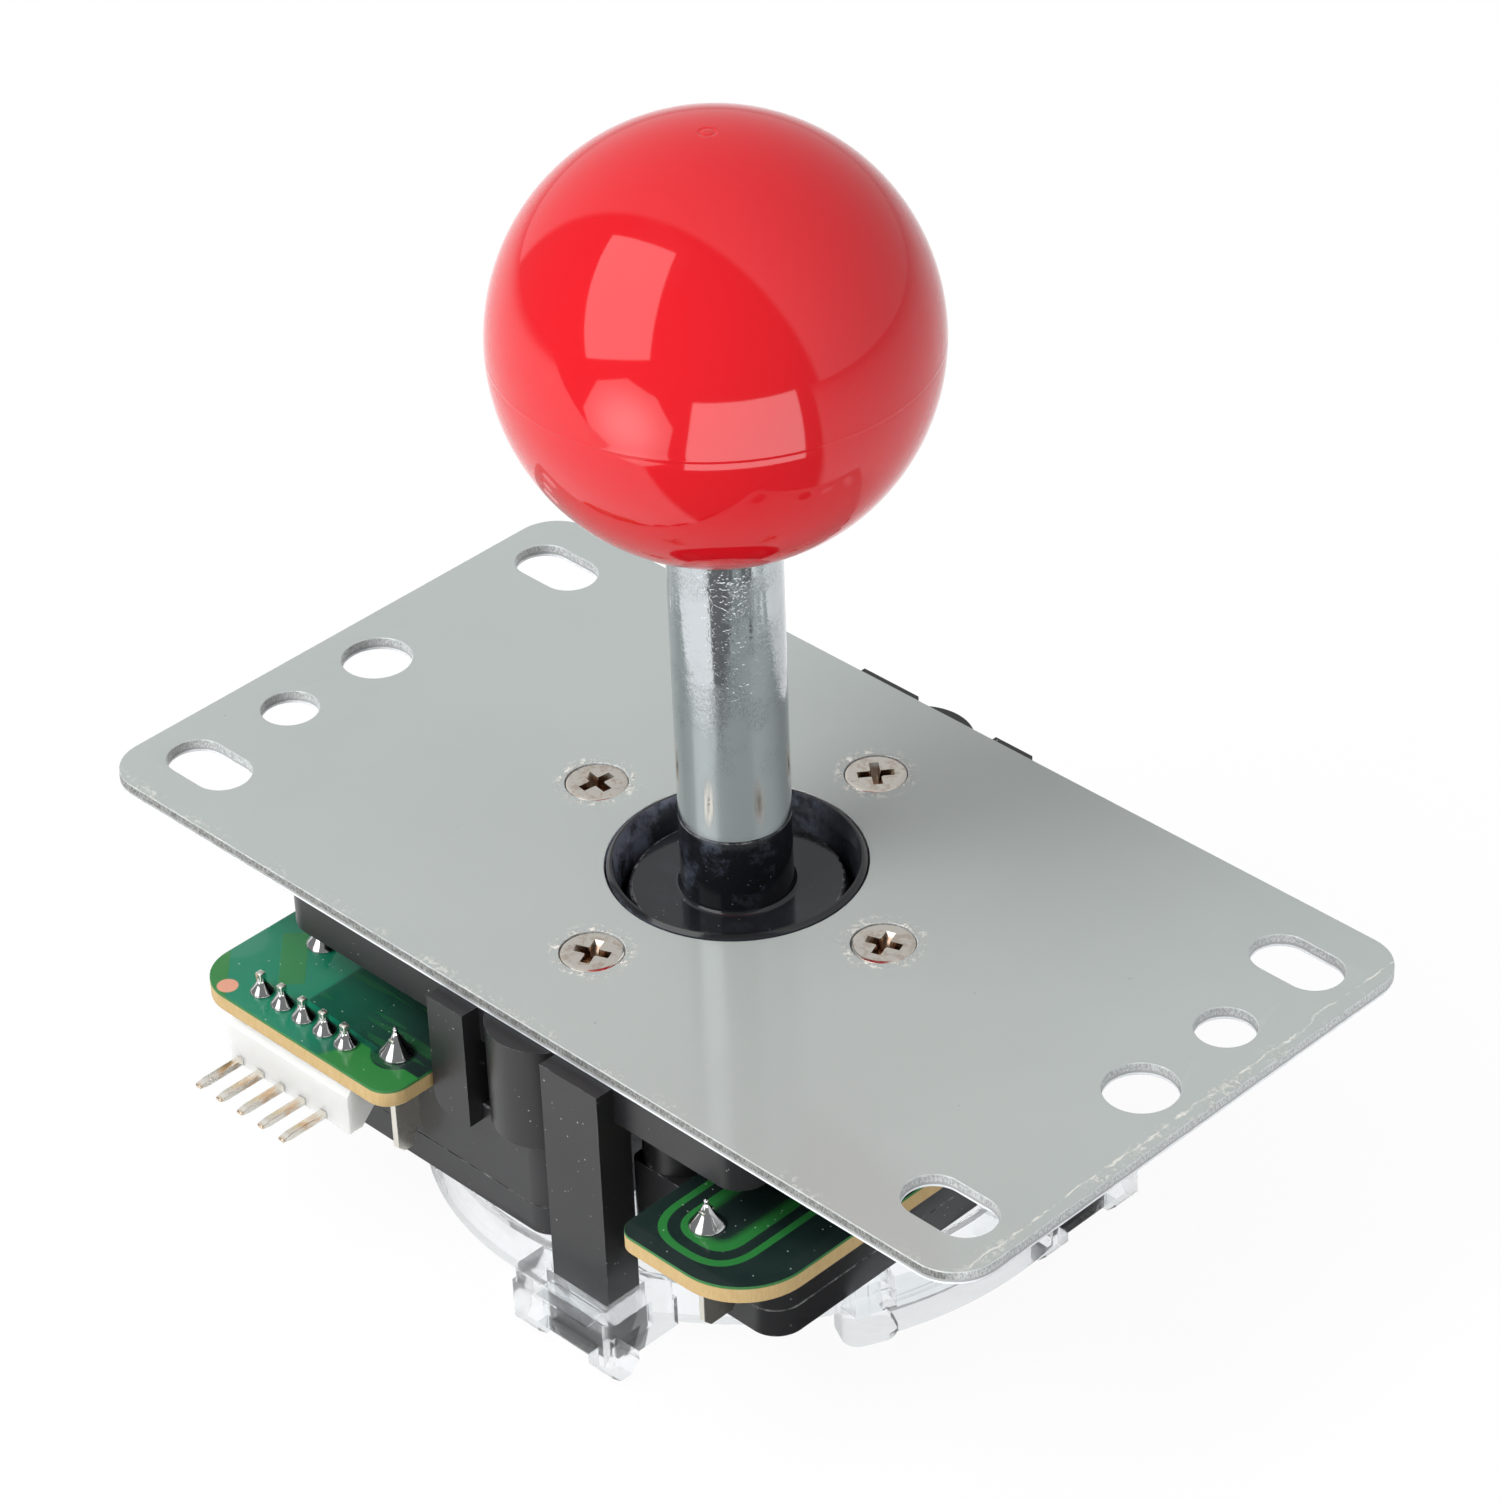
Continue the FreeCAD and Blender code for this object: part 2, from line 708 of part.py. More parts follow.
def switch_cover():
    """The lower moulding of a switch, which closes it."""
    keep = block(switch_left - 1, plunger_end + 1, -switch_outer_face - 1, -switch_inner_face + 1,
                 switch_bottom - 1, switch_seam)
    return switch_shell().common(keep)


def switch_plunger():
    """The button of a switch, with a rounded nose and shoulders that keep it in."""
    half_width = plunger_width / 2
    nose = -switch_inner_face + plunger_reach
    shoulder = -switch_inner_face - switch_wall - flat_gap
    z0 = plunger_level - plunger_height / 2
    z1 = plunger_level + plunger_height / 2
    stem = block(-half_width, half_width, plunger_stem_end, nose - half_width, z0, z1)
    tip = rod(half_width, z0, z1, 0, nose - half_width)
    collar = block(-half_width - plunger_shoulder, half_width + plunger_shoulder,
                   shoulder - plunger_collar_length, shoulder, z0, z1)
    return joined([stem, tip, collar])


def snap_blade():
    """The sprung strip inside a switch, with its cut-out tongue, bent at the contact end."""
    v = plunger_stem_end
    z0 = plunger_level - blade_width / 2
    z1 = plunger_level + blade_width / 2
    strip = prism([(blade_left, v, z0), (blade_right, v, z0), (blade_right, v - blade_thickness, z0),
                   (blade_left, v - blade_thickness, z0)], Vector(0, 0, z1 - z0))
    window = block(blade_left + blade_window_left, blade_right - blade_window_right, v - 1, v + 1,
                   plunger_level - blade_window_width / 2, plunger_level + blade_window_width / 2)
    contact = Part.makeCylinder(contact_radius, contact_height,
                                Vector(blade_right - contact_inset, v - blade_thickness, plunger_level),
                                Vector(0, -1, 0))
    return joined([strip.cut(window), contact])


def terminal_outline(tail_offset):
    """A terminal's outline in its own plane: root in the switch, blade, and tail up through the board."""
    top = switch_top
    bottom = top - terminal_height
    tail_top = board_top + terminal_tail_height
    half = terminal_tail_width / 2
    reach = tail_offset + half + terminal_margin
    return [(-terminal_root, top - terminal_root_top), (-terminal_root, top - terminal_root_bottom),
            (terminal_step, top - terminal_root_bottom), (terminal_step + terminal_corner, bottom),
            (reach - terminal_corner, bottom), (reach, bottom + terminal_corner), (reach, top),
            (tail_offset + half, top), (tail_offset + half, tail_top),
            (tail_offset - half, tail_top), (tail_offset - half, top),
            (terminal_step, top), (terminal_step, top - terminal_root_top)]


def common_terminal():
    """The terminal at the far end of a switch, a flat blade in a plane across Y."""
    y = common_terminal_v - terminal_thickness / 2
    return prism([(switch_left - along, y, z) for along, z in terminal_outline(common_tail_offset)],
                 Vector(0, terminal_thickness, 0))


def open_terminal():
    """The terminal on the outer face of a switch, a flat blade in a plane across X."""
    x = open_terminal_u - terminal_thickness / 2
    return prism([(x, -switch_outer_face - along, z) for along, z in terminal_outline(open_tail_offset)],
                 Vector(terminal_thickness, 0, 0))


def spring_seat():
    """The steel washer under the socket that the return spring bears on."""
    return tube(seat_outer_radius, seat_inner_radius, seat_bottom, socket_floor)


def return_spring():
    """The coil between the spring seat and the actuator's floor."""
    radius = spring_wire / 2
    start = drum_floor + radius + seat_gap
    height = seat_bottom - radius - seat_gap - start
    path = Part.makeHelix(height / spring_turns, height, spring_mean_radius)
    section = Part.Wire(Part.makeCircle(radius, Vector(spring_mean_radius, 0, 0), Vector(0, 1, 0)))
    coil = Part.Wire(path.Edges).makePipeShell([section], True, True)
    return coil.translated(Vector(0, 0, start))


def actuator():
    """The drum that reaches for the plungers, holds the spring and runs in the gate."""
    bore = spindle_diameter / 2 + seat_gap
    inner = drum_radius - drum_wall
    return turned([(bore, drum_floor), (inner, drum_floor), (inner, drum_top),
                   (drum_radius - drum_rim_chamfer, drum_top), (drum_radius, drum_top - drum_rim_chamfer),
                   (drum_radius, drum_bottom + drum_foot_chamfer),
                   (drum_radius - drum_foot_chamfer, drum_bottom), (gate_collar_radius, drum_bottom),
                   (gate_collar_radius, gate_collar_bottom + drum_rim_chamfer),
                   (gate_collar_radius - drum_rim_chamfer, gate_collar_bottom), (bore, gate_collar_bottom)])


def e_clip():
    """The retaining clip in the spindle's groove, open on one side, with two reliefs."""
    top = gate_collar_bottom - running_gap - flat_gap / 2
    bottom = top - clip_thickness
    neck = spindle_diameter / 2 - clip_groove_depth + seat_gap
    ring = tube(clip_radius, neck, bottom, top)
    mouth = block(-clip_mouth_width / 2, clip_mouth_width / 2, -clip_radius - 1, 0, bottom - 1, top + 1)
    reliefs = []
    for angle in clip_relief_angles:
        x = (neck + clip_relief_offset) * math.cos(math.radians(angle))
        y = (neck + clip_relief_offset) * math.sin(math.radians(angle))
        reliefs.append(rod(clip_relief_radius, bottom - 1, top + 1, x, y))
    return ring.cut([mouth] + reliefs)


def gate_loop():
    """One loop of the gate, at the front: a table with the leg's opening, two arms, feet and a bar."""
    left = leg_centre - loop_half_width
    right = leg_centre + loop_half_width
    front = -loop_outer_face
    back = front + loop_back_reach
    foot_back = front + loop_foot_length
    heel = loop_bottom + loop_foot_chamfer
    table = rounded_block(left, right, front, back, loop_top - loop_table_thickness, loop_top,
                          loop_corner_radius)
    arms = []
    for x in (left, right - loop_arm_width):
        arms.append(prism([(x, front, loop_top - loop_table_thickness), (x, front, heel),
                           (x, front + loop_foot_chamfer, loop_bottom),
                           (x, foot_back - loop_foot_chamfer, loop_bottom), (x, foot_back, heel),
                           (x, foot_back, gate_skirt_bottom), (x, back, gate_skirt_bottom),
                           (x, back, loop_top - loop_table_thickness)], Vector(loop_arm_width, 0, 0)))
    bar = block(left + loop_bar_inset, right - loop_bar_inset, front, front + loop_bar_thickness,
                loop_bar_bottom, loop_bar_top)
    opening = block(leg_left - side_gap, leg_right + side_gap, front + loop_bar_thickness,
                    -side_face + leg_thickness + side_gap, loop_bottom, loop_top + 1)
    return joined([table, bar] + arms), opening


def gate_wing():
    """The tall arc wall that stands out on two opposite sides, with a hollow block at its end."""
    half = wing_block_width / 2
    block_angle = wing_start + math.degrees(half / wing_radius)
    start = math.radians(block_angle)
    stop_y = leg_centre - loop_half_width + loop_bar_inset
    low = wing_bottom - 1
    reach = wing_radius + 5
    ring = tube(wing_radius, wing_radius - wing_wall, wing_bottom, wing_top)
    floor = tube(wing_radius, gate_radius - gate_skirt_wall, wing_bottom, wing_bottom + gate_deck_thickness)
    sector = prism([(0, 0, low), (reach * math.cos(start), reach * math.sin(start), low), (reach, 0, low),
                    (reach, stop_y, low), (0, stop_y, low)], Vector(0, 0, wing_top - low + 1))
    wall = ring.fuse(floor).common(sector)
    inner = wing_radius - wing_block_depth
    end = rounded_block(inner, wing_radius, -half, half, wing_bottom - wing_block_foot, wing_top,
                        wing_block_radius)
    pocket = block(inner + wing_block_wall, wing_radius - wing_block_wall, -half + wing_block_wall,
                   half - wing_block_wall, wing_top - wing_pocket_depth, wing_top + 1)
    end = end.cut(pocket)
    end.rotate(Vector(0, 0, 0), up, block_angle)
    return joined([wall, end])


def gate_frame():
    """The clear frame under the switches: deck, skirt, seat for the gate plate, loops and wings."""
    deck = rod(gate_radius, gate_deck_bottom, switch_bottom)
    skirt = tube(gate_radius, gate_radius - gate_skirt_wall, gate_skirt_bottom, switch_bottom)
    seat_outer = gate_seat_radius + gate_seat_wall
    floor_bottom = gate_plate_bottom - gate_seat_floor_thickness
    seat = rod(seat_outer, floor_bottom, switch_bottom)
    loop, opening = gate_loop()
    shapes = [deck, skirt, seat] + on_all_sides(loop) + [gate_wing(), around(gate_wing(), 2)]
    key = block(-gate_plate_key_width / 2 - flat_gap, gate_plate_key_width / 2 + flat_gap,
                -gate_seat_radius - gate_plate_key_reach, 0, gate_plate_bottom, switch_bottom + 1)
    cutters = on_all_sides(opening) + on_all_sides(key)
    cutters.append(rod(gate_seat_radius, gate_plate_bottom, switch_bottom + 1))
    cutters.append(rod(gate_seat_radius - gate_seat_ledge, floor_bottom - 1, switch_bottom + 1))
    return joined(shapes).cut(cutters).removeSplitter()


def gate_plate():
    """The restrictor that drops into the frame: a disc with four keys and a rounded square hole."""
    disc = rod(gate_plate_radius, gate_plate_bottom, gate_deck_bottom)
    key = block(-gate_plate_key_width / 2, gate_plate_key_width / 2,
                -gate_plate_radius - gate_plate_key_reach, 0, gate_plate_bottom, gate_deck_bottom)
    half = gate_square_half
    square = rounded_block(-half, half, -half, half, gate_plate_bottom - 1, gate_deck_bottom + 1,
                           gate_square_corner_radius)
    return joined([disc] + on_all_sides(key)).cut(square)


def main():
    """Make every piece and write it."""
    ball, flat_height = ball_top()
    save("ball_top", ball)
    save("ball_insert", ball_insert(flat_height))
    save("shaft", shaft(flat_height))
    save("pivot", pivot())
    save("mounting_plate", mounting_plate())
    save("plate_screws", plate_screws())
    save("main_body", main_body())
    save("spring_seat", spring_seat())
    save("return_spring", return_spring())
    save("actuator", actuator())
    save("e_clip", e_clip())
    save("circuit_board", circuit_board())
    save("solder_joints", solder_joints())
    save("header_housing", header_housing())
    save("header_pins", Part.makeCompound(header_pin_list()))
    save("gate_frame", gate_frame())
    save("gate_plate", gate_plate())
    switch_pieces = {"switch_case": switch_case(), "switch_cover": switch_cover(),
                     "switch_plunger": switch_plunger(), "snap_blade": snap_blade(),
                     "common_terminal": common_terminal(), "open_terminal": open_terminal()}
    for quarter, side in enumerate(side_names):
        for piece, shape in switch_pieces.items():
            save(piece + "_" + side, around(shape, quarter))


main()
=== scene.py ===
"""Looks of a ball-top arcade lever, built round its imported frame.

Lengths inside the functions are millimetres and are turned into metres when a mesh is made.
The lever stands on +Z, the plate is long in X, and the pin header points to -Y.
"""

import math

import bmesh
import bpy
from mathutils import Matrix, Quaternion, Vector


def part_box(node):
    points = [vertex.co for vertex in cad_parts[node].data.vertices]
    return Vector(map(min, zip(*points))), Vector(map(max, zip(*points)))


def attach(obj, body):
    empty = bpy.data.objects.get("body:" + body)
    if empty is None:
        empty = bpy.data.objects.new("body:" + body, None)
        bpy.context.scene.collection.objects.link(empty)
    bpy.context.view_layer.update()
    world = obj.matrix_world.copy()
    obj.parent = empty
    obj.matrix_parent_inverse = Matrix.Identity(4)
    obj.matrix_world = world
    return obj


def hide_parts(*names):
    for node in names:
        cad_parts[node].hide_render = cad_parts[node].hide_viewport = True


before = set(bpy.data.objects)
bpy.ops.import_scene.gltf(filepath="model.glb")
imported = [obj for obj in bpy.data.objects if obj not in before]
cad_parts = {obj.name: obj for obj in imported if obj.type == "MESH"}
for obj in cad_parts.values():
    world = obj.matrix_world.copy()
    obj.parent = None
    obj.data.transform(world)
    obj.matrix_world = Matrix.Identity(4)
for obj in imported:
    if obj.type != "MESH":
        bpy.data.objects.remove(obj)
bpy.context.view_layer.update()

bl_info = {
    "name": "Ball-top arcade lever",
    "version": (1, 0, 0),
    "blender": (4, 5, 0),
    "location": "3D View > Sidebar > Lever",
    "description": "Rebuilds the looks of a ball-top arcade lever",
    "category": "Object",
}

MM = 0.001
SIDES = ("front", "right", "back", "left")
SCREW_CIRCLE = 16.3

# The white tent and the dim room round the lever, as the ball reflects them
TENT_SIDE = (-0.079, 0.912, 0.178)
TENT_FADE = (0.06, -0.387, -0.158)
TENT_LIGHT = 1.05
ROOM_LIGHT = 0.27
SURROUND_TINT = (0.97, 0.985, 1.0, 1.0)


# Small tools for shapes

def corner(node, high):
    """A corner of a CAD piece's box at rest, in millimetres."""
    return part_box(node)[1 if high else 0] / MM


def mesh_object(name, mesh):
    """An object at the origin that shows a mesh."""
    piece = bpy.data.objects.new(name, mesh)
    bpy.context.scene.collection.objects.link(piece)
    return piece


def from_bmesh(name, shape, sharp=40):
    """Turn a bmesh in millimetres into an object in metres, smooth up to an angle."""
    bmesh.ops.scale(shape, vec=(MM, MM, MM), verts=shape.verts)
    mesh = bpy.data.meshes.new(name)
    shape.to_mesh(mesh)
    shape.free()
    mesh.shade_smooth()
    mesh.set_sharp_from_angle(angle=math.radians(sharp))
    return mesh_object(name, mesh)


def evaluated(piece, name=None):
    """A plain mesh object of what a piece's modifiers make, in its place."""
    graph = bpy.context.evaluated_depsgraph_get()
    mesh = bpy.data.meshes.new_from_object(piece.evaluated_get(graph), depsgraph=graph)
    name = name or piece.name
    mesh.name = name
    bpy.data.objects.remove(piece)
    return mesh_object(name, mesh)


def softened(points, radius, steps=4):
    """An outline with each inner corner rounded."""
    result = [Vector(points[0])]
    for before, middle, after in zip(points, points[1:], points[2:]):
        middle = Vector(middle)
        back = Vector(before) - middle
        ahead = Vector(after) - middle
        reach = min(radius, 0.45 * back.length, 0.45 * ahead.length)
        first = middle + back.normalized() * reach
        last = middle + ahead.normalized() * reach
        for number in range(steps + 1):
            share = number / steps
            result.append(first * (1 - share) ** 2 + middle * 2 * share * (1 - share) + last * share ** 2)
    result.append(Vector(points[-1]))
    return result


def turned(name, profile, segments=128, sharp=40):
    """A closed outline of (radius, height) pairs turned about the lever's axis."""
    shape = bmesh.new()
    rings = []
    for radius, height in profile:
        if radius < 1e-4:
            rings.append([shape.verts.new((0, 0, height))])
            continue
        rings.append([shape.verts.new((*spot, height)) for spot in circle(radius, count=segments)])
    pairs = list(zip(rings, rings[1:]))
    if len(rings[0]) > 1 or len(rings[-1]) > 1:
        pairs.append((rings[-1], rings[0]))
    for low, high in pairs:
        for k in range(segments):
            after = (k + 1) % segments
            corners = [low[k % len(low)], low[after % len(low)], high[after % len(high)], high[k % len(high)]]
            unique = list(dict.fromkeys(corners))
            if len(unique) > 2:
                shape.faces.new(unique)
    bmesh.ops.recalc_face_normals(shape, faces=shape.faces)
    return from_bmesh(name, shape, sharp)


def weighted(piece):
    """Let large faces set the shading, so that flats stay flat beside rounded edges."""
    modifier = piece.modifiers.new("weighted", "WEIGHTED_NORMAL")
    modifier.weight = 80
    modifier.keep_sharp = False
    return evaluated(piece)


def in_millimetres(mesh):
    """A bmesh of a mesh, in millimetres."""
    shape = bmesh.new()
    shape.from_mesh(mesh)
    bmesh.ops.scale(shape, vec=(1 / MM, 1 / MM, 1 / MM), verts=shape.verts)
    return shape


def rounded(shape, width, steps, angle=28):
    """Round the sharp edges of a bmesh in millimetres, and mark the rounded faces for wear."""
    limit = math.radians(angle)
    layer = shape.faces.layers.float.new("arris")
    edges = [edge for edge in shape.edges if len(edge.link_faces) == 2 and edge.calc_face_angle() > limit]
    made = bmesh.ops.bevel(shape, geom=edges, offset=width, offset_type="OFFSET", segments=steps,
                           profile=0.5, affect="EDGES", clamp_overlap=True, loop_slide=True)
    for face in made["faces"]:
        face[layer] = 1.0


def rounded_copy(node, width, steps=2, angle=28):
    """A CAD piece's own shape with flat faces merged and its edges rounded."""
    closest, flattest = 0.002, math.radians(0.6)
    shape = in_millimetres(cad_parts[node].data)
    bmesh.ops.remove_doubles(shape, verts=shape.verts, dist=closest)
    bmesh.ops.dissolve_limit(shape, angle_limit=flattest, verts=shape.verts, edges=shape.edges,
                             use_dissolve_boundaries=False)
    rounded(shape, width, steps, angle)
    return weighted(from_bmesh(node + "_made", shape, sharp=180))


def flat_piece(name, loops, low, high, width, steps=3):
    """A sheet with holes, from closed loops of (x, y) pairs, with rounded top and bottom arrises."""
    curve = bpy.data.curves.new(name, "CURVE")
    curve.dimensions = "2D"
    curve.fill_mode = "BOTH"
    curve.extrude = ((high - low) / 2 - width) * MM
    curve.bevel_depth = width * MM
    curve.bevel_resolution = steps
    curve.offset = -width * MM
    for loop in loops:
        spline = curve.splines.new("POLY")
        spline.points.add(len(loop) - 1)
        for point, (x, y) in zip(spline.points, loop):
            point.co = (x * MM, y * MM, 0, 1)
        spline.use_cyclic_u = True
    piece = evaluated(mesh_object(name + "_curve", curve), name)
    shape = in_millimetres(piece.data)
    bpy.data.objects.remove(piece)
    bmesh.ops.translate(shape, vec=(0, 0, (low + high) / 2), verts=shape.verts)
    bmesh.ops.remove_doubles(shape, verts=shape.verts, dist=0.001)
    bmesh.ops.recalc_face_normals(shape, faces=shape.faces)
    layer = shape.faces.layers.float.new("arris")
    for face in shape.faces:
        face[layer] = float(0.05 < abs(face.normal.z) < 0.97)
    return weighted(from_bmesh(name, shape, sharp=180))


def prism(points, direction):
    """A bmesh prism from a closed outline in space, drawn out along a direction."""
    shape = bmesh.new()
    face = shape.faces.new([shape.verts.new(point) for point in points])
    made = bmesh.ops.extrude_face_region(shape, geom=[face])
    bmesh.ops.translate(shape, vec=direction,
                        verts=[item for item in made["geom"] if isinstance(item, bmesh.types.BMVert)])
    bmesh.ops.recalc_face_normals(shape, faces=shape.faces)
    return shape


def circle(radius, x=0.0, y=0.0, count=64):
    """A round loop of (x, y) pairs."""
    return [(x + radius * math.cos(2 * math.pi * k / count), y + radius * math.sin(2 * math.pi * k / count))
            for k in range(count)]


def stadium(x, y, length, width, count=24):
    """A slot with round ends, long in X, as (x, y) pairs."""
    half = (length - width) / 2
    right = [(x + half + width / 2 * math.sin(math.pi * k / count),
              y - width / 2 * math.cos(math.pi * k / count)) for k in range(count + 1)]
    left = [(2 * x - u, 2 * y - v) for u, v in right]
    return right + left


def rounded_loop(x0, x1, y0, y1, radii, count=12):
    """A rectangle with its own radius at each corner: front right, back right, back left, front left."""
    places = ((x1, y0, -1, 1, 270), (x1, y1, -1, -1, 0), (x0, y1, 1, -1, 90), (x0, y0, 1, 1, 180))
    loop = []
    for (x, y, along, across, start), radius in zip(places, radii):
        for k in range(count + 1):
            angle = math.radians(start + 90 * k / count)
            loop.append((x + along * radius + radius * math.cos(angle),
                         y + across * radius + radius * math.sin(angle)))
    return loop


def merged(pieces, name):
    """One object from several."""
    shape = bmesh.new()
    for piece in pieces:
        shape.from_mesh(piece.data)
        bpy.data.objects.remove(piece)
    mesh = bpy.data.meshes.new(name)
    shape.to_mesh(mesh)
    shape.free()
    return mesh_object(name, mesh)


def place(piece, finish, *replaced, body="housing"):
    """Give a finished piece its material, its body and the CAD pieces that it stands for."""
    piece.data.materials.clear()
    piece.data.materials.append(finish.material)
    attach(piece, body)
    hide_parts(*replaced)


def dress(node, finish, width, steps=2, angle=28, body="housing"):
    """Stand in for a CAD piece with its own shape, its edges rounded."""
    place(rounded_copy(node, width, steps, angle), finish, node, body=body)


def paint(node, finish):
    """Give a CAD piece whose shape is right its material."""
    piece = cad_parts[node]
    if not piece.material_slots:
        piece.data.materials.append(finish.material)
    for entry in piece.material_slots:
        entry.material = finish.material


# Node trees

class Value:
    """A number in a node tree that takes part in Python expressions."""

    def __init__(self, graph, socket):
        self.graph = graph
        self.socket = socket

    def math(self, operation, *terms):
        """One Math node on these terms."""
        return self.graph.value("ShaderNodeMath", {"operation": operation}, dict(enumerate(terms)))

    def __add__(self, other):
        return self.math("ADD", self, other)

    def __sub__(self, other):
        return self.math("SUBTRACT", self, other)

    def __rsub__(self, other):
        return self.math("SUBTRACT", other, self)

    def __mul__(self, other):
        return self.math("MULTIPLY", self, other)

    def __truediv__(self, other):
        return self.math("DIVIDE", self, other)

    def __pow__(self, other):
        return self.math("POWER", self, other)

    def __abs__(self):
        return self.math("ABSOLUTE", self)

    __radd__ = __add__
    __rmul__ = __mul__

    def largest(self, other):
        """The larger of two values."""
        return self.math("MAXIMUM", self, other)

    def smallest(self, other):
        """The smaller of two values."""
        return self.math("MINIMUM", self, other)

    def between(self, low, high):
        """0 below low and 1 above high, with a smooth step."""
        return self.graph.value("ShaderNodeMapRange", {"interpolation_type": "SMOOTHSTEP", "clamp": True},
                                {"Value": self, "From Min": low, "From Max": high})

    def within(self, start, full, fade, end):
        """0 below start, 1 from full to fade, and 0 again above end."""
        return self.between(start, full) * (1 - self.between(fade, end))


class Graph:
    """A node tree that is built by calls."""

    def __init__(self, tree):
        self.nodes = tree.nodes
        self.links = tree.links

    def node(self, kind, settings, inputs, output=0):
        """Add a node: its settings first, then the values or links of its sockets."""
        made = self.nodes.new(kind)
        for key, value in settings.items():
            setattr(made, key, value)
        for key, value in inputs.items():
            self.feed(made.inputs[key], value)
        return made.outputs[output]

    def feed(self, socket, value):
        """Link or fill one input socket."""
        if isinstance(value, Value):
            value = value.socket
        if isinstance(value, bpy.types.NodeSocket):
            self.links.new(value, socket)
        else:
            socket.default_value = value

    def value(self, kind, settings, inputs, output=0):
        """Add a node and take its output as a number for expressions."""
        return Value(self, self.node(kind, settings, inputs, output))

    def ray(self, kind):
        """1 for one kind of ray and 0 for the others."""
        return self.value("ShaderNodeLightPath", {}, {}, "Is " + kind + " Ray")

    def seen(self):
        """1 where the camera looks, straight or through clear pieces."""
        return self.ray("Camera").largest(self.ray("Transmission"))


# Geometry that repeats

class Tree(Graph):
    """A Geometry Nodes tree with named inputs that ends in Realize Instances and Set Material."""

    def __init__(self, name, inputs):
        self.group = bpy.data.node_groups.new(name, "GeometryNodeTree")
        super().__init__(self.group)
        for label, kind in inputs.items():
            self.group.interface.new_socket(name=label, in_out="INPUT", socket_type="NodeSocket" + kind)
        self.group.interface.new_socket(name="Geometry", in_out="OUTPUT", socket_type="NodeSocketGeometry")
        self.given = self.nodes.new("NodeGroupInput").outputs

    def upward(self, height):
        """A vector along Z."""
        return self.node("ShaderNodeCombineXYZ", {}, {"Z": height})

    def copies(self, points, turns):
        """Put the given piece on points, and finish the tree."""
        piece = self.node("GeometryNodeObjectInfo", {}, {"Object": self.given["Piece"]}, "Geometry")
        return self.close(self.node("GeometryNodeInstanceOnPoints", {},
                                    {"Points": points, "Instance": piece, **turns}))

    def close(self, geometry):
        """Finish the tree from a geometry output."""
        real = self.node("GeometryNodeRealizeInstances", {}, {"Geometry": geometry})
        coated = self.node("GeometryNodeSetMaterial", {},
                           {"Geometry": real, "Material": self.given["Finish"]})
        self.links.new(coated, self.nodes.new("NodeGroupOutput").inputs[0])
        return self.group


def ring_tree():
    """Copies of a piece on a ring about the lever's axis, each turned by its own angle."""
    tree = Tree("ring of pieces", {"Piece": "Object", "Finish": "Material", "Count": "Int",
                                   "Radius": "Float", "Phase": "Float", "Height": "Float",
                                   "First turn": "Float", "Turn step": "Float"})
    given = tree.given
    ring = tree.node("GeometryNodeMeshCircle", {}, {"Vertices": given["Count"], "Radius": given["Radius"]})
    moved = tree.node("GeometryNodeTransform", {},
                      {"Geometry": ring, "Translation": tree.upward(given["Height"]),
                       "Rotation": tree.upward(given["Phase"])})
    index = tree.node("GeometryNodeInputIndex", {}, {})
    turn = tree.node("ShaderNodeMath", {"operation": "MULTIPLY_ADD"},
                     {0: index, 1: given["Turn step"], 2: given["First turn"]})
    rotation = tree.node("FunctionNodeEulerToRotation", {}, {0: tree.upward(turn)})
    return tree.copies(moved, {"Rotation": rotation})


def row_tree():
    """Copies of a piece in a straight row along X."""
    tree = Tree("row of pieces", {"Piece": "Object", "Finish": "Material", "Count": "Int",
                                  "Pitch": "Float", "Start": "Vector"})
    given = tree.given
    step = tree.node("ShaderNodeCombineXYZ", {}, {"X": given["Pitch"]})
    row = tree.node("GeometryNodeMeshLine", {"mode": "OFFSET"},
                    {"Count": given["Count"], "Start Location": given["Start"], "Offset": step})
    return tree.copies(row, {})


def coil_tree():
    """A wound spring of round wire."""
    tree = Tree("wound spring", {"Finish": "Material", "Turns": "Float", "Radius": "Float",
                                 "Height": "Float", "Bottom": "Float", "Wire radius": "Float"})
    given = tree.given
    path = tree.node("GeometryNodeCurveSpiral", {},
                     {"Resolution": 48, "Rotations": given["Turns"], "Start Radius": given["Radius"],
                      "End Radius": given["Radius"], "Height": given["Height"]})
    section = tree.node("GeometryNodeCurvePrimitiveCircle", {},
                        {"Resolution": 16, "Radius": given["Wire radius"]})
    wire = tree.node("GeometryNodeCurveToMesh", {},
                     {"Curve": path, "Profile Curve": section, "Fill Caps": True})
    moved = tree.node("GeometryNodeTransform", {},
                      {"Geometry": wire, "Translation": tree.upward(given["Bottom"])})
    return tree.close(tree.node("GeometryNodeSetShadeSmooth", {}, {"Geometry": moved}))


def grown(name, tree, **values):
    """Run a node tree and keep its result as a plain mesh object."""
    holder = mesh_object(name + "_holder", bpy.data.meshes.new(name + "_holder"))
    modifier = holder.modifiers.new("made", "NODES")
    modifier.node_group = tree
    for item in tree.interface.items_tree:
        key = item.name.lower().replace(" ", "_")
        if item.in_out == "INPUT" and key in values:
            modifier[item.identifier] = values[key]
    return evaluated(holder, name)


# Procedural finishes

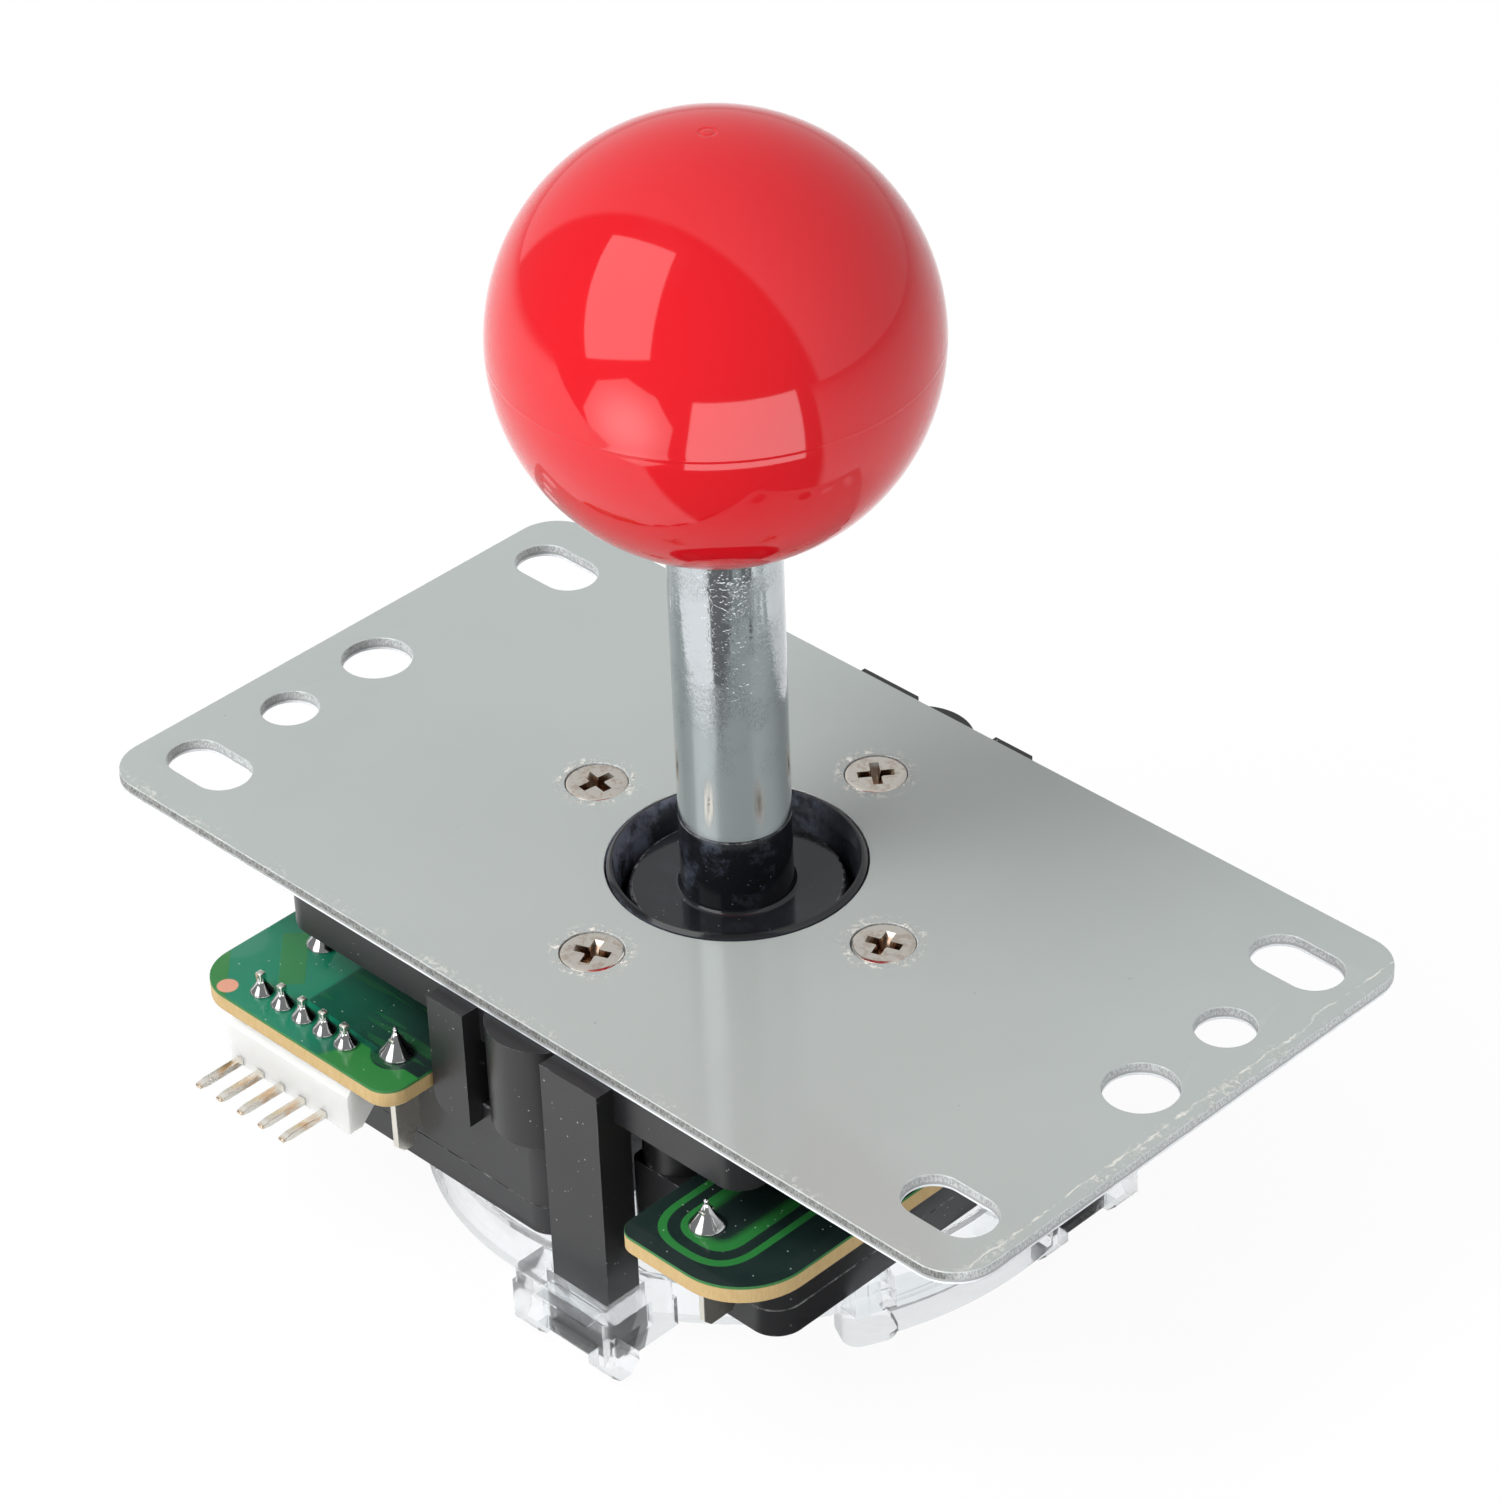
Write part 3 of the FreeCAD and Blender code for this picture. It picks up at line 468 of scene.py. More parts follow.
class Finish(Graph):
    """A material whose detail follows the object's own coordinates, in millimetres."""

    def __init__(self, name, base, roughness, **constants):
        self.slot = name
        self.material = bpy.data.materials.new(name)
        self.material.use_nodes = True
        super().__init__(self.material.node_tree)
        self.nodes.clear()
        self.shader = self.nodes.new("ShaderNodeBsdfPrincipled")
        self.output = self.nodes.new("ShaderNodeOutputMaterial")
        self.links.new(self.shader.outputs[0], self.output.inputs[0])
        self.set("Base Color", (*base, 1.0))
        self.set("Roughness", roughness)
        for key, value in constants.items():
            self.set(key.replace("_", " "), value)
        spot = self.node("ShaderNodeTexCoord", {}, {}, "Object")
        self.place = self.node("ShaderNodeVectorMath", {"operation": "SCALE"}, {0: spot, "Scale": 1 / MM})
        self.x, self.y, self.z = self.parts(self.place)

    def set(self, name, value):
        """Feed one of the shader's sockets."""
        self.feed(self.shader.inputs[name], value)

    def parts(self, vector):
        """The three numbers of a vector."""
        apart = self.nodes.new("ShaderNodeSeparateXYZ")
        self.links.new(vector, apart.inputs[0])
        return [Value(self, socket) for socket in apart.outputs]

    def mapped(self, stretch, move):
        """The place on the piece, stretched and moved."""
        return self.node("ShaderNodeMapping", {}, {"Vector": self.place, "Scale": stretch, "Location": move})

    def noise(self, scale, detail=3.0, rough=0.55, stretch=(1, 1, 1), shift=0.0):
        """Cloudy noise from 0 to 1; scale counts features for each millimetre."""
        return self.value("ShaderNodeTexNoise", {},
                          {"Vector": self.mapped(stretch, (shift, shift * 1.7, shift * 0.6)),
                           "Scale": scale, "Detail": detail, "Roughness": rough})

    def specks(self, scale, size, shift=0.0):
        """A mask of small scattered grains."""
        near = self.value("ShaderNodeTexVoronoi", {},
                          {"Vector": self.mapped((1, 1, 1), (shift, shift * 1.3, shift * 0.7)),
                           "Scale": scale}, "Distance")
        return 1 - near.between(size * 0.5, size)

    def arris(self):
        """1 on rounded edges and 0 elsewhere, as kept on the piece's faces."""
        return self.value("ShaderNodeAttribute", {"attribute_name": "arris"}, {}, "Fac")

    def wall(self, low, high):
        """1 on upright faces and 0 on level ones."""
        facing = self.node("ShaderNodeTexCoord", {}, {}, "Normal")
        return 1 - abs(self.parts(facing)[2]).between(low, high)

    def reach(self, x=0.0, y=0.0):
        """The distance in plan from a point."""
        return ((self.x - x) ** 2 + (self.y - y) ** 2) ** 0.5

    def blend(self, mask, first, second):
        """Mix two colours, each a triple or an output socket, by a mask."""
        inputs = {0: mask}
        for index, colour in ((6, first), (7, second)):
            inputs[index] = colour if isinstance(colour, bpy.types.NodeSocket) else (*colour, 1.0)
        return self.node("ShaderNodeMix", {"data_type": "RGBA"}, inputs, 2)

    def bump(self, height, distance):
        """Raise the surface where a height is more than 0, by a distance in millimetres where it is 1."""
        self.set("Normal", self.node("ShaderNodeBump", {}, {"Height": height, "Distance": distance * MM}))


def tint(red, green, blue):
    """A linear colour from a display colour of 0 to 255."""
    return tuple(((part / 255 + 0.055) / 1.055) ** 2.4 if part > 10 else part / 255 / 12.92
                 for part in (red, green, blue))


def darker(colour, share):
    """A colour scaled towards black."""
    return tuple(part * share for part in colour)


def lighter(colour, share):
    """A colour moved towards white."""
    return tuple(part + (1 - part) * share for part in colour)


def moulded(name, colour, roughness=0.35, dust=0.25, grain=0.004):
    """Satin moulded plastic with faint sheen changes, worn arrises and dust."""
    finish = Finish(name, colour, roughness)
    cloud = finish.noise(0.12, 4)
    fine = finish.noise(3.0, 2)
    wear = finish.arris() * finish.noise(1.1, 4, 0.7, shift=5).between(0.4, 0.7) * dust
    dirt = finish.specks(1.3, 0.12) * finish.noise(0.3, 2, shift=9).between(0.45, 0.7) * dust
    mask = (wear + dirt).smallest(1.0)
    finish.colour = finish.blend(mask, colour, lighter(colour, 0.45))
    finish.set("Base Color", finish.colour)
    finish.rough = roughness + (cloud - 0.5) * 0.16 + mask * 0.2
    finish.set("Roughness", finish.rough)
    finish.bump(fine + cloud * 2, grain)
    return finish


def metal(name, colour, roughness=0.2, scratch=0.5, stretch=(1, 1, 14), grain=0.002, plain=True):
    """Worked metal with fine directional marks, and a slight stain where it is plain."""
    finish = Finish(name, colour, roughness, Metallic=1.0)
    marks = finish.noise(2.2, 4, 0.65, stretch)
    cloud = finish.noise(0.35, 3, shift=4)
    if plain:
        stain = ((cloud - 0.5) * 0.35 + (marks - 0.5) * 0.3 * scratch + 0.25).smallest(1.0).largest(0.0)
        stain = stain * (1 - finish.arris())
        finish.set("Base Color", finish.blend(stain, lighter(colour, 0.15), darker(colour, 0.72)))
    finish.set("Roughness", (roughness + (marks - 0.5) * 0.25 * scratch + (cloud - 0.5) * 0.1).largest(0.03))
    finish.bump(marks, grain * scratch)
    return finish


# Sizes and colours that a user would change

def size(label, about, value):
    """A length property given in millimetres."""
    return bpy.props.FloatProperty(name=label, description=about, default=value * MM, min=0.0,
                                   unit="LENGTH", subtype="DISTANCE", precision=5)


def shade(label, about, red, green, blue):
    """A colour property given as a display colour."""
    return bpy.props.FloatVectorProperty(name=label, description=about, default=tint(red, green, blue),
                                         min=0.0, max=1.0, size=3, subtype="COLOR")


class BallSettings(bpy.types.PropertyGroup):
    """The ball."""
    diameter: size("Diameter", "Across the ball", 35.0)
    centre: size("Centre height", "From the plate's top face to the ball's centre", 49.0)
    flat: size("Flat diameter", "Across the small flat under the ball", 11.0)
    seam: size("Seam width", "Width of the mould line round the middle", 0.16)
    red: shade("Colour", "Moulded plastic of the ball", 186, 16, 26)


class LeverSettings(bpy.types.PropertyGroup):
    """The shaft, the pivot and the works below them."""
    chrome: shade("Chrome", "Plating of the shaft", 197, 202, 205)
    pivot: shade("Pivot colour", "Glossy nylon of the pivot", 23, 24, 27)
    turns: bpy.props.FloatProperty(name="Spring turns", description="Turns of the return spring",
                                   default=4.5, min=1.0)
    wire: size("Spring wire", "Diameter of the return spring's wire", 1.1)
    steel: shade("Spring steel", "Wire, washer and clip", 150, 150, 150)


class PlateSettings(bpy.types.PropertyGroup):
    """The mounting plate and its screws."""
    corner: size("Corner radius", "Radius of the plate's corners", 4.0)
    slot_length: size("Slot length", "Length of the corner slots", 8.3)
    slot_width: size("Slot width", "Width of the corner slots", 5.0)
    arris: size("Arris", "Rounding of the punched edges", 0.09)
    steel: shade("Steel", "Plated face of the plate", 159, 166, 163)
    screw: shade("Screw", "Nickel of the four screws", 214, 208, 198)


class HousingSettings(bpy.types.PropertyGroup):
    """The black mouldings and the clear gate."""
    arris: size("Arris", "Rounding of the moulded edges", 0.22)
    black: shade("Housing", "Moulding under the plate", 26, 26, 28)
    switch: shade("Switches", "Cases of the four switches", 36, 36, 38)
    clear: shade("Gate", "Clear plastic of the gate", 247, 250, 252)
    silver: shade("Terminals", "Silver plate of the switch terminals", 226, 222, 210)


class BoardSettings(bpy.types.PropertyGroup):
    """The circuit board, its solder and the pin header."""
    arris: size("Arris", "Rounding of the board's edges", 0.2)
    green: shade("Mask", "Solder mask over bare laminate", 5, 32, 28)
    pour: shade("Pour", "Solder mask over the copper pour on the left", 14, 112, 84)
    track: shade("Track", "Solder mask over copper", 42, 112, 54)
    edge: shade("Edge", "Cut edge of the laminate", 184, 152, 88)
    copper: shade("Copper", "Bare pad in the corner", 196, 140, 116)
    solder: shade("Solder", "Bright solder", 205, 205, 205)
    header: shade("Header", "Natural white nylon", 205, 205, 203)
    pin: shade("Pins", "Tinned brass pins", 242, 238, 228)


class StudioSettings(bpy.types.PropertyGroup):
    """The floor, the camera and the lamps."""
    lens: bpy.props.FloatProperty(name="Lens", description="Focal length on a 36 mm sensor", default=128.246,
                                  min=1.0, subtype="DISTANCE_CAMERA")
    floor: shade("Floor", "Pale floor", 224, 224, 224)
    window: bpy.props.FloatProperty(name="Lamps", description="Brightness of the soft lamps in front",
                                    default=2.6, min=0.0)
    overhead: bpy.props.FloatProperty(name="Overhead", description="Brightness of the lamp above the ball",
                                      default=8.2, min=0.0)


# Operators, one for each piece or group

class LEVER_OT_ball(bpy.types.Operator):
    """Make the glossy ball with its mould line and gate mark"""
    bl_idname = "lever.ball"
    bl_label = "Ball"

    def execute(self, context):
        given = context.scene.lever_ball
        ball = turned("ball", self.outline(given), segments=192, sharp=60)
        place(ball, self.plastic(given.red), "ball_top", body="lever")
        paint("ball_insert", metal("insert_brass", tint(196, 160, 92), roughness=0.25))
        return {"FINISHED"}

    def outline(self, given):
        """The ball's section from its bore to its top, with the mould line and the gate mark."""
        radius = given.diameter / MM / 2
        centre = given.centre / MM
        flat = given.flat / MM / 2
        seam = given.seam / MM
        bore = corner("ball_insert", True).x + 0.02
        top_of_bore = corner("ball_insert", True).z + 0.1
        start = -math.acos(flat / radius)
        bottom = centre - math.sqrt(radius ** 2 - flat ** 2)
        ridge, groove, mark = 0.01, 0.012, 0.95
        gate_mark = ((0.9, 0.0), (0.72, 0.0), (0.62, 0.05), (0.5, 0.06), (0.4, 0.0), (0.22, 0.01))
        profile = [(0, top_of_bore), (bore, top_of_bore), (bore, bottom + 0.1), (bore + 0.1, bottom)]
        profile += [(flat - 0.15, bottom), (flat - 0.04, bottom + 0.03)]
        angles = [start + (math.pi / 2 - start) * k / 110 for k in range(1, 110)]
        angles += [seam / radius * k / 4 for k in range(-4, 5)]
        for angle in sorted(angles):
            line = max(0.0, 1 - abs(angle) * radius / seam)
            below = max(0.0, 1 - abs(angle * radius + seam) / (0.5 * seam))
            reach = radius + ridge * line - groove * below
            spot = reach * math.cos(angle)
            if spot > mark:
                profile.append((spot, centre + reach * math.sin(angle)))
        for spot, drop in gate_mark:
            profile.append((spot, centre + math.sqrt(radius ** 2 - spot ** 2) - drop))
        profile.append((0, centre + radius - 0.03))
        return profile

    def plastic(self, colour):
        """Glossy plastic with a faint swell, a few pale pits and rubbed places."""
        finish = Finish("ball_red", colour, 0.05, Specular_IOR_Level=0.52, IOR=1.5)
        cloud = finish.noise(0.06, 3)
        pits = finish.specks(0.2, 0.024, 3.0)
        rubbed = finish.noise(1.2, 3, 0.6, (6, 6, 0.6), 11).between(0.66, 0.8)
        finish.set("Base Color", finish.blend(pits, colour, lighter(colour, 0.5)))
        finish.set("Roughness", 0.04 + cloud * 0.03 + rubbed * 0.08)
        finish.bump(cloud, 0.02)
        return finish


class LEVER_OT_shaft(bpy.types.Operator):
    """Make the chromed shaft, the glossy pivot and the retaining clip"""
    bl_idname = "lever.shaft"
    bl_label = "Shaft and pivot"

    def execute(self, context):
        given = context.scene.lever_works
        dress("shaft", self.plating(given.chrome), 0.15, body="lever")
        dress("pivot", self.nylon(given.pivot), 0.2, steps=3, angle=40, body="pivot_ball")
        paint("e_clip", metal("clip_steel", darker(given.steel, 0.3), roughness=0.3))
        return {"FINISHED"}

    def plating(self, colour):
        """Chrome with scuffs on its upper half, faint rings on its lower third and scores by the ball."""
        finish = Finish("shaft_chrome", colour, 0.06, Metallic=1.0)
        upper_half = finish.z.between(8, 16)
        lower_third = 1 - finish.z.between(9, 13)
        near_ball = finish.z.between(14, 20)
        swirl = finish.noise(3.6, 5, 0.7, (1.4, 1.4, 1), 7)
        patch = finish.noise(0.28, 2, shift=2).between(0.42, 0.6) * upper_half
        rings = finish.noise(1.0, 2, 0.5, (0.4, 0.4, 16), 3) * lower_third
        finish.set("Roughness", 0.05 + swirl.between(0.45, 0.7) * patch * 0.16 + rings * 0.12)
        fine = finish.noise(7.0, 3, 0.7, (1, 1, 0.5), 5)
        scuffs = fine.between(0.4, 0.62) * patch * 0.38
        finish.set("Base Color", finish.blend(scuffs, colour, darker(colour, 0.35)))
        scores = finish.noise(2.4, 2, 0.5, (1, 1, 1), 37).between(0.5, 0.6) * near_ball
        finish.bump(swirl * (0.15 + patch) + fine * patch * 0.6 + scores * 0.32 + rings * 0.3, 0.014)
        return finish

    def nylon(self, colour):
        """Glossy nylon with a painted pale bluish sheen on the neck."""
        finish = moulded("pivot_black", colour, roughness=0.1, dust=0.3, grain=0.006)
        # The pale bluish patchy tint on the neck and upper dish is a painted sheen, not a colour of the
        # nylon.
        painted_sheen = finish.noise(0.35, 4, 0.7, shift=31).between(0.48, 0.75) * finish.z.between(-2.5, 0.0)
        finish.set("Base Color", finish.blend(painted_sheen * 0.5, finish.colour, tint(90, 98, 114)))
        return finish


class LEVER_OT_spring(bpy.types.Operator):
    """Make the return spring, its seat and the actuator drum"""
    bl_idname = "lever.spring"
    bl_label = "Spring and actuator"

    def execute(self, context):
        given = context.scene.lever_works
        low = corner("return_spring", False)
        high = corner("return_spring", True)
        wire = given.wire / MM / 2
        steel = metal("spring_steel", given.steel, roughness=0.22, scratch=0.6)
        coil = grown("return_spring_coil", coil_tree(), finish=steel.material, turns=given.turns,
                     radius=(high.x - wire) * MM, height=(high.z - low.z - 2 * wire) * MM,
                     bottom=(low.z + wire) * MM, wire_radius=wire * MM)
        place(coil, steel, "return_spring", body="centring_spring")
        paint("spring_seat", metal("washer_steel", lighter(given.steel, 0.15), roughness=0.3))
        nylon = moulded("actuator_black", tint(40, 40, 42), roughness=0.4)
        dress("actuator", nylon, 0.15, body="lever")
        return {"FINISHED"}


class LEVER_OT_plate(bpy.types.Operator):
    """Make the punched steel plate"""
    bl_idname = "lever.plate"
    bl_label = "Mounting plate"

    def execute(self, context):
        given = context.scene.lever_plate
        low = corner("mounting_plate", False)
        high = corner("mounting_plate", True)
        collar_hole, large_hole, small_hole, screw_hole = 10.75, 3.05, 2.5, 2.66
        large_x, small_x, small_y = 43.3, 43.2, 10.0
        slot_x, slot_y = 42.0, 20.0
        slot = (given.slot_length / MM, given.slot_width / MM)
        loops = [rounded_loop(low.x, high.x, low.y, high.y, [given.corner / MM] * 4)]
        loops.append(circle(collar_hole, count=128))
        for side in (-1, 1):
            loops.append(circle(large_hole, side * large_x, 0))
            loops.append(circle(small_hole, side * small_x, side * small_y))
            for end in (-1, 1):
                loops.append(stadium(side * slot_x, end * slot_y, *slot))
        for x, y in ((1, 0), (-1, 0), (0, 1), (0, -1)):
            loops.append(circle(screw_hole, x * SCREW_CIRCLE, y * SCREW_CIRCLE))
        plate = flat_piece("plate", loops, low.z, high.z, given.arris / MM)
        place(plate, self.steel(given.steel, low, high), "mounting_plate")
        return {"FINISHED"}

    def steel(self, colour, low, high):
        """Plated sheet: an even face with specks, a punched edge, and fluff at screws and edges."""
        finish = Finish("plate_steel", colour, 0.45, Metallic=0.25, Coat_Weight=0.9, Coat_Roughness=0.11)
        cloud = finish.noise(0.035, 4, 0.6)
        fine = finish.noise(4.0, 2, 0.6)
        spots = finish.specks(0.35, 0.045, 2.0) * finish.noise(0.2, 2, shift=6).between(0.5, 0.62)
        face = finish.blend(cloud, darker(colour, 0.94), lighter(colour, 0.05))
        face = finish.blend(spots * 0.6, face, darker(colour, 0.45))
        wall = finish.wall(0.02, 0.6)
        streaks = finish.noise(7.0, 3, 0.7, (1, 1, 0.5)).between(0.35, 0.65)
        worn = finish.arris() * finish.noise(1.0, 3, 0.6, shift=8).between(0.25, 0.6)
        fluff = self.fluff(finish, high) * (1 - wall)
        colours = finish.blend(wall, face, self.punched(finish, streaks, low, high))
        colours = finish.blend(fluff * 0.9, colours, tint(226, 224, 216))
        finish.set("Base Color", finish.blend(worn * 0.35, colours, tint(232, 235, 236)))
        finish.set("Roughness", 0.45 + (cloud - 0.5) * 0.08 + wall * 0.05 + (fine - 0.5) * 0.05)
        finish.set("Coat Weight", 0.9 - (wall + fluff).smallest(1.0) * 0.8)
        finish.bump(fine * 0.4 + cloud * 3 + wall * streaks * 3 + fluff * 12, 0.004)
        return finish

    def punched(self, finish, streaks, low, high):
        """The edge's colours in bands: rough streaks on top, then torn metal, and a bright line below."""
        depth = (high.z - finish.z) / (high.z - low.z)
        wobble = finish.noise(0.6, 3, shift=3) - 0.5
        torn = (depth + wobble * 0.2).between(0.56, 0.64)
        bright = (depth + wobble * 0.14).between(0.76, 0.82)
        rough = finish.blend(streaks, tint(92, 92, 90), tint(150, 151, 149))
        pale = finish.blend(streaks, tint(158, 160, 160), tint(208, 212, 212))
        rough = finish.blend(finish.y.between(low.y + 0.3, low.y + 1.5), rough, pale)
        band = finish.blend(torn, rough, tint(166, 168, 168))
        return finish.blend(bright, band, tint(234, 238, 242))

    def fluff(self, finish, high):
        """Where dried residue and fibres sit: round the screws and along the right and front edges."""
        near_x = (abs(finish.x) - SCREW_CIRCLE) ** 2 + finish.y ** 2
        near_y = finish.x ** 2 + (abs(finish.y) - SCREW_CIRCLE) ** 2
        reach = near_x.smallest(near_y) ** 0.5
        ring = reach.within(2.5, 2.7, 2.9, 3.9)
        right = finish.x.between(high.x - 2.2, high.x - 0.3)
        front = 1 - finish.y.between(0.5 - high.y, 1.4 - high.y)
        wisps = finish.noise(1.5, 5, 0.75, shift=13).between(0.5, 0.62)
        patches = finish.noise(0.22, 2, shift=17).between(0.42, 0.6)
        wave = finish.x - high.x + 0.1 + finish.noise(0.2, 4, 0.7, shift=19) * 2.0
        broken = finish.noise(0.6, 3, 0.7, shift=29).between(0.4, 0.6) * 0.7
        trail = (1 - abs(wave).between(0.03, 0.16)) * broken
        return ((ring + (right * 0.7 + front * 0.5) * patches).smallest(1.0) * wisps).largest(trail)


class LEVER_OT_screws(bpy.types.Operator):
    """Make the four countersunk screws"""
    bl_idname = "lever.screws"
    bl_label = "Plate screws"

    def execute(self, context):
        given = context.scene.lever_plate
        sunk, first_turn, turn_step = 0.02, 20, 31
        screw = self.screw()
        nickel = self.nickel(given.screw)
        ring = grown("screws", ring_tree(), piece=screw, finish=nickel.material, count=4,
                     radius=SCREW_CIRCLE * MM, height=-sunk * MM,
                     first_turn=math.radians(first_turn), turn_step=math.radians(turn_step))
        bpy.data.objects.remove(screw)
        place(ring, nickel, "plate_screws")
        return {"FINISHED"}

    def screw(self):
        """One screw on the lever's axis, with its cross recess cut."""
        head, thread, foot = 2.6, 1.3, -8.0
        profile = softened([(0, foot), (1.0, foot), (thread, foot + 0.4), (thread, -1.1), (head, -0.24),
                            (head, -0.1), (head - 0.25, 0.0), (0, 0.0)], 0.12)
        screw = turned("screw", [(point.x, point.y) for point in profile], segments=48, sharp=60)
        cutters = [self.cutter(*sizes) for sizes in ((0, 1.75, 0.44), (45, 0.72, 0.72), (90, 1.75, 0.44))]
        for cutter in cutters:
            modifier = screw.modifiers.new("recess", "BOOLEAN")
            modifier.operation = "DIFFERENCE"
            modifier.solver = "EXACT"
            modifier.object = cutter
        screw = evaluated(screw)
        for cutter in cutters:
            bpy.data.objects.remove(cutter)
        screw.data.set_sharp_from_angle(angle=math.radians(35))
        return screw

    def cutter(self, turn, long, wide):
        """One tapered arm of the recess, from its turn in degrees and half of its length and width."""
        above, depth, end_taper, side_taper = 0.3, 1.5, 0.4, 0.6
        corners = ((-long, -wide), (long, -wide), (long, wide), (-long, wide))
        arm = prism([(x, y, above) for x, y in corners], (0, 0, -depth))
        for vertex in arm.verts:
            if vertex.co.z < 0:
                vertex.co.x *= end_taper
                vertex.co.y *= side_taper
        spin = Matrix.Rotation(math.radians(turn), 3, "Z")
        bmesh.ops.rotate(arm, verts=arm.verts, cent=(0, 0, 0), matrix=spin)
        return from_bmesh("recess", arm, sharp=30)

    def nickel(self, colour):
        """Nickel plate with stains, browner in the recess."""
        finish = metal("screw_nickel", colour, roughness=0.16, scratch=0.9, stretch=(1, 1, 1), grain=0.01,
                       plain=False)
        deep = 1 - finish.z.between(-0.5, -0.12)
        stain = finish.noise(1.3, 3, 0.6, shift=21).between(0.45, 0.65)
        tone = finish.blend(stain * 0.5, colour, tint(178, 156, 138))
        finish.set("Base Color", finish.blend(deep * 0.8, tone, tint(150, 120, 98)))
        return finish


class LEVER_OT_housing(bpy.types.Operator):
    """Make the black housing under the plate"""
    bl_idname = "lever.housing"
    bl_label = "Housing"

    def execute(self, context):
        given = context.scene.lever_housing
        dress("main_body", self.moulding(given.black), given.arris / MM)
        return {"FINISHED"}

    def moulding(self, colour):
        """Satin plastic, glossier in the collar, with painted shade inside the collar and a painted bluish
        reflection on its wall, palest on its left side.
        """
        finish = moulded("housing_black", colour, roughness=0.34, dust=1.0, grain=0.006)
        collar_radius, collar_foot = 10.8, -4.0
        collar = 1 - finish.reach().between(collar_radius, collar_radius + 0.4)
        collar = collar * finish.z.between(collar_foot, collar_foot + 1.5)
        finish.set("Roughness", finish.rough * (1 - collar * 0.6))
        inner = collar * finish.wall(0.2, 0.8)
        # A pale bluish patch on the left side of the collar's wall is a painted reflection of the sky.
        painted_sheen = finish.noise(0.22, 4, 0.7, shift=27).between(0.38, 0.6) * (1 - finish.x.between(-6.0, 4.0))
        # Inside the collar the colour is darkened as painted shade, and the inner wall gets a paler bluish
        # grey as a painted reflection.
        tone = finish.blend(collar, finish.colour, darker(colour, 0.6))
        tone = finish.blend(inner * 0.7, tone, tint(66, 70, 77))
        finish.set("Base Color", finish.blend(painted_sheen * inner * 0.8, tone, tint(150, 158, 178)))
        return finish


class LEVER_OT_switches(bpy.types.Operator):
    """Make the cases, covers, plungers, blades and terminals of the four switches"""
    bl_idname = "lever.switches"
    bl_label = "Switches"

    def execute(self, context):
        given = context.scene.lever_housing
        black = moulded("switch_black", given.switch, roughness=0.32, dust=0.5, grain=0.005)
        brown = moulded("plunger_brown", tint(120, 62, 38), 0.35)
        copper = metal("blade_copper", tint(206, 150, 106), roughness=0.25)
        silver = metal("terminal_silver", given.silver, roughness=0.3, scratch=0.6, stretch=(1, 1, 6),
                       grain=0.003)
        arris = given.arris / MM
        for side in SIDES:
            for part in ("switch_case_", "switch_cover_"):
                dress(part + side, black, arris)
            dress("switch_plunger_" + side, brown, 0.12, body="plunger_" + side)
            paint("snap_blade_" + side, copper)
            for part in ("common_terminal_", "open_terminal_"):
                dress(part + side, silver, 0.08)
        return {"FINISHED"}


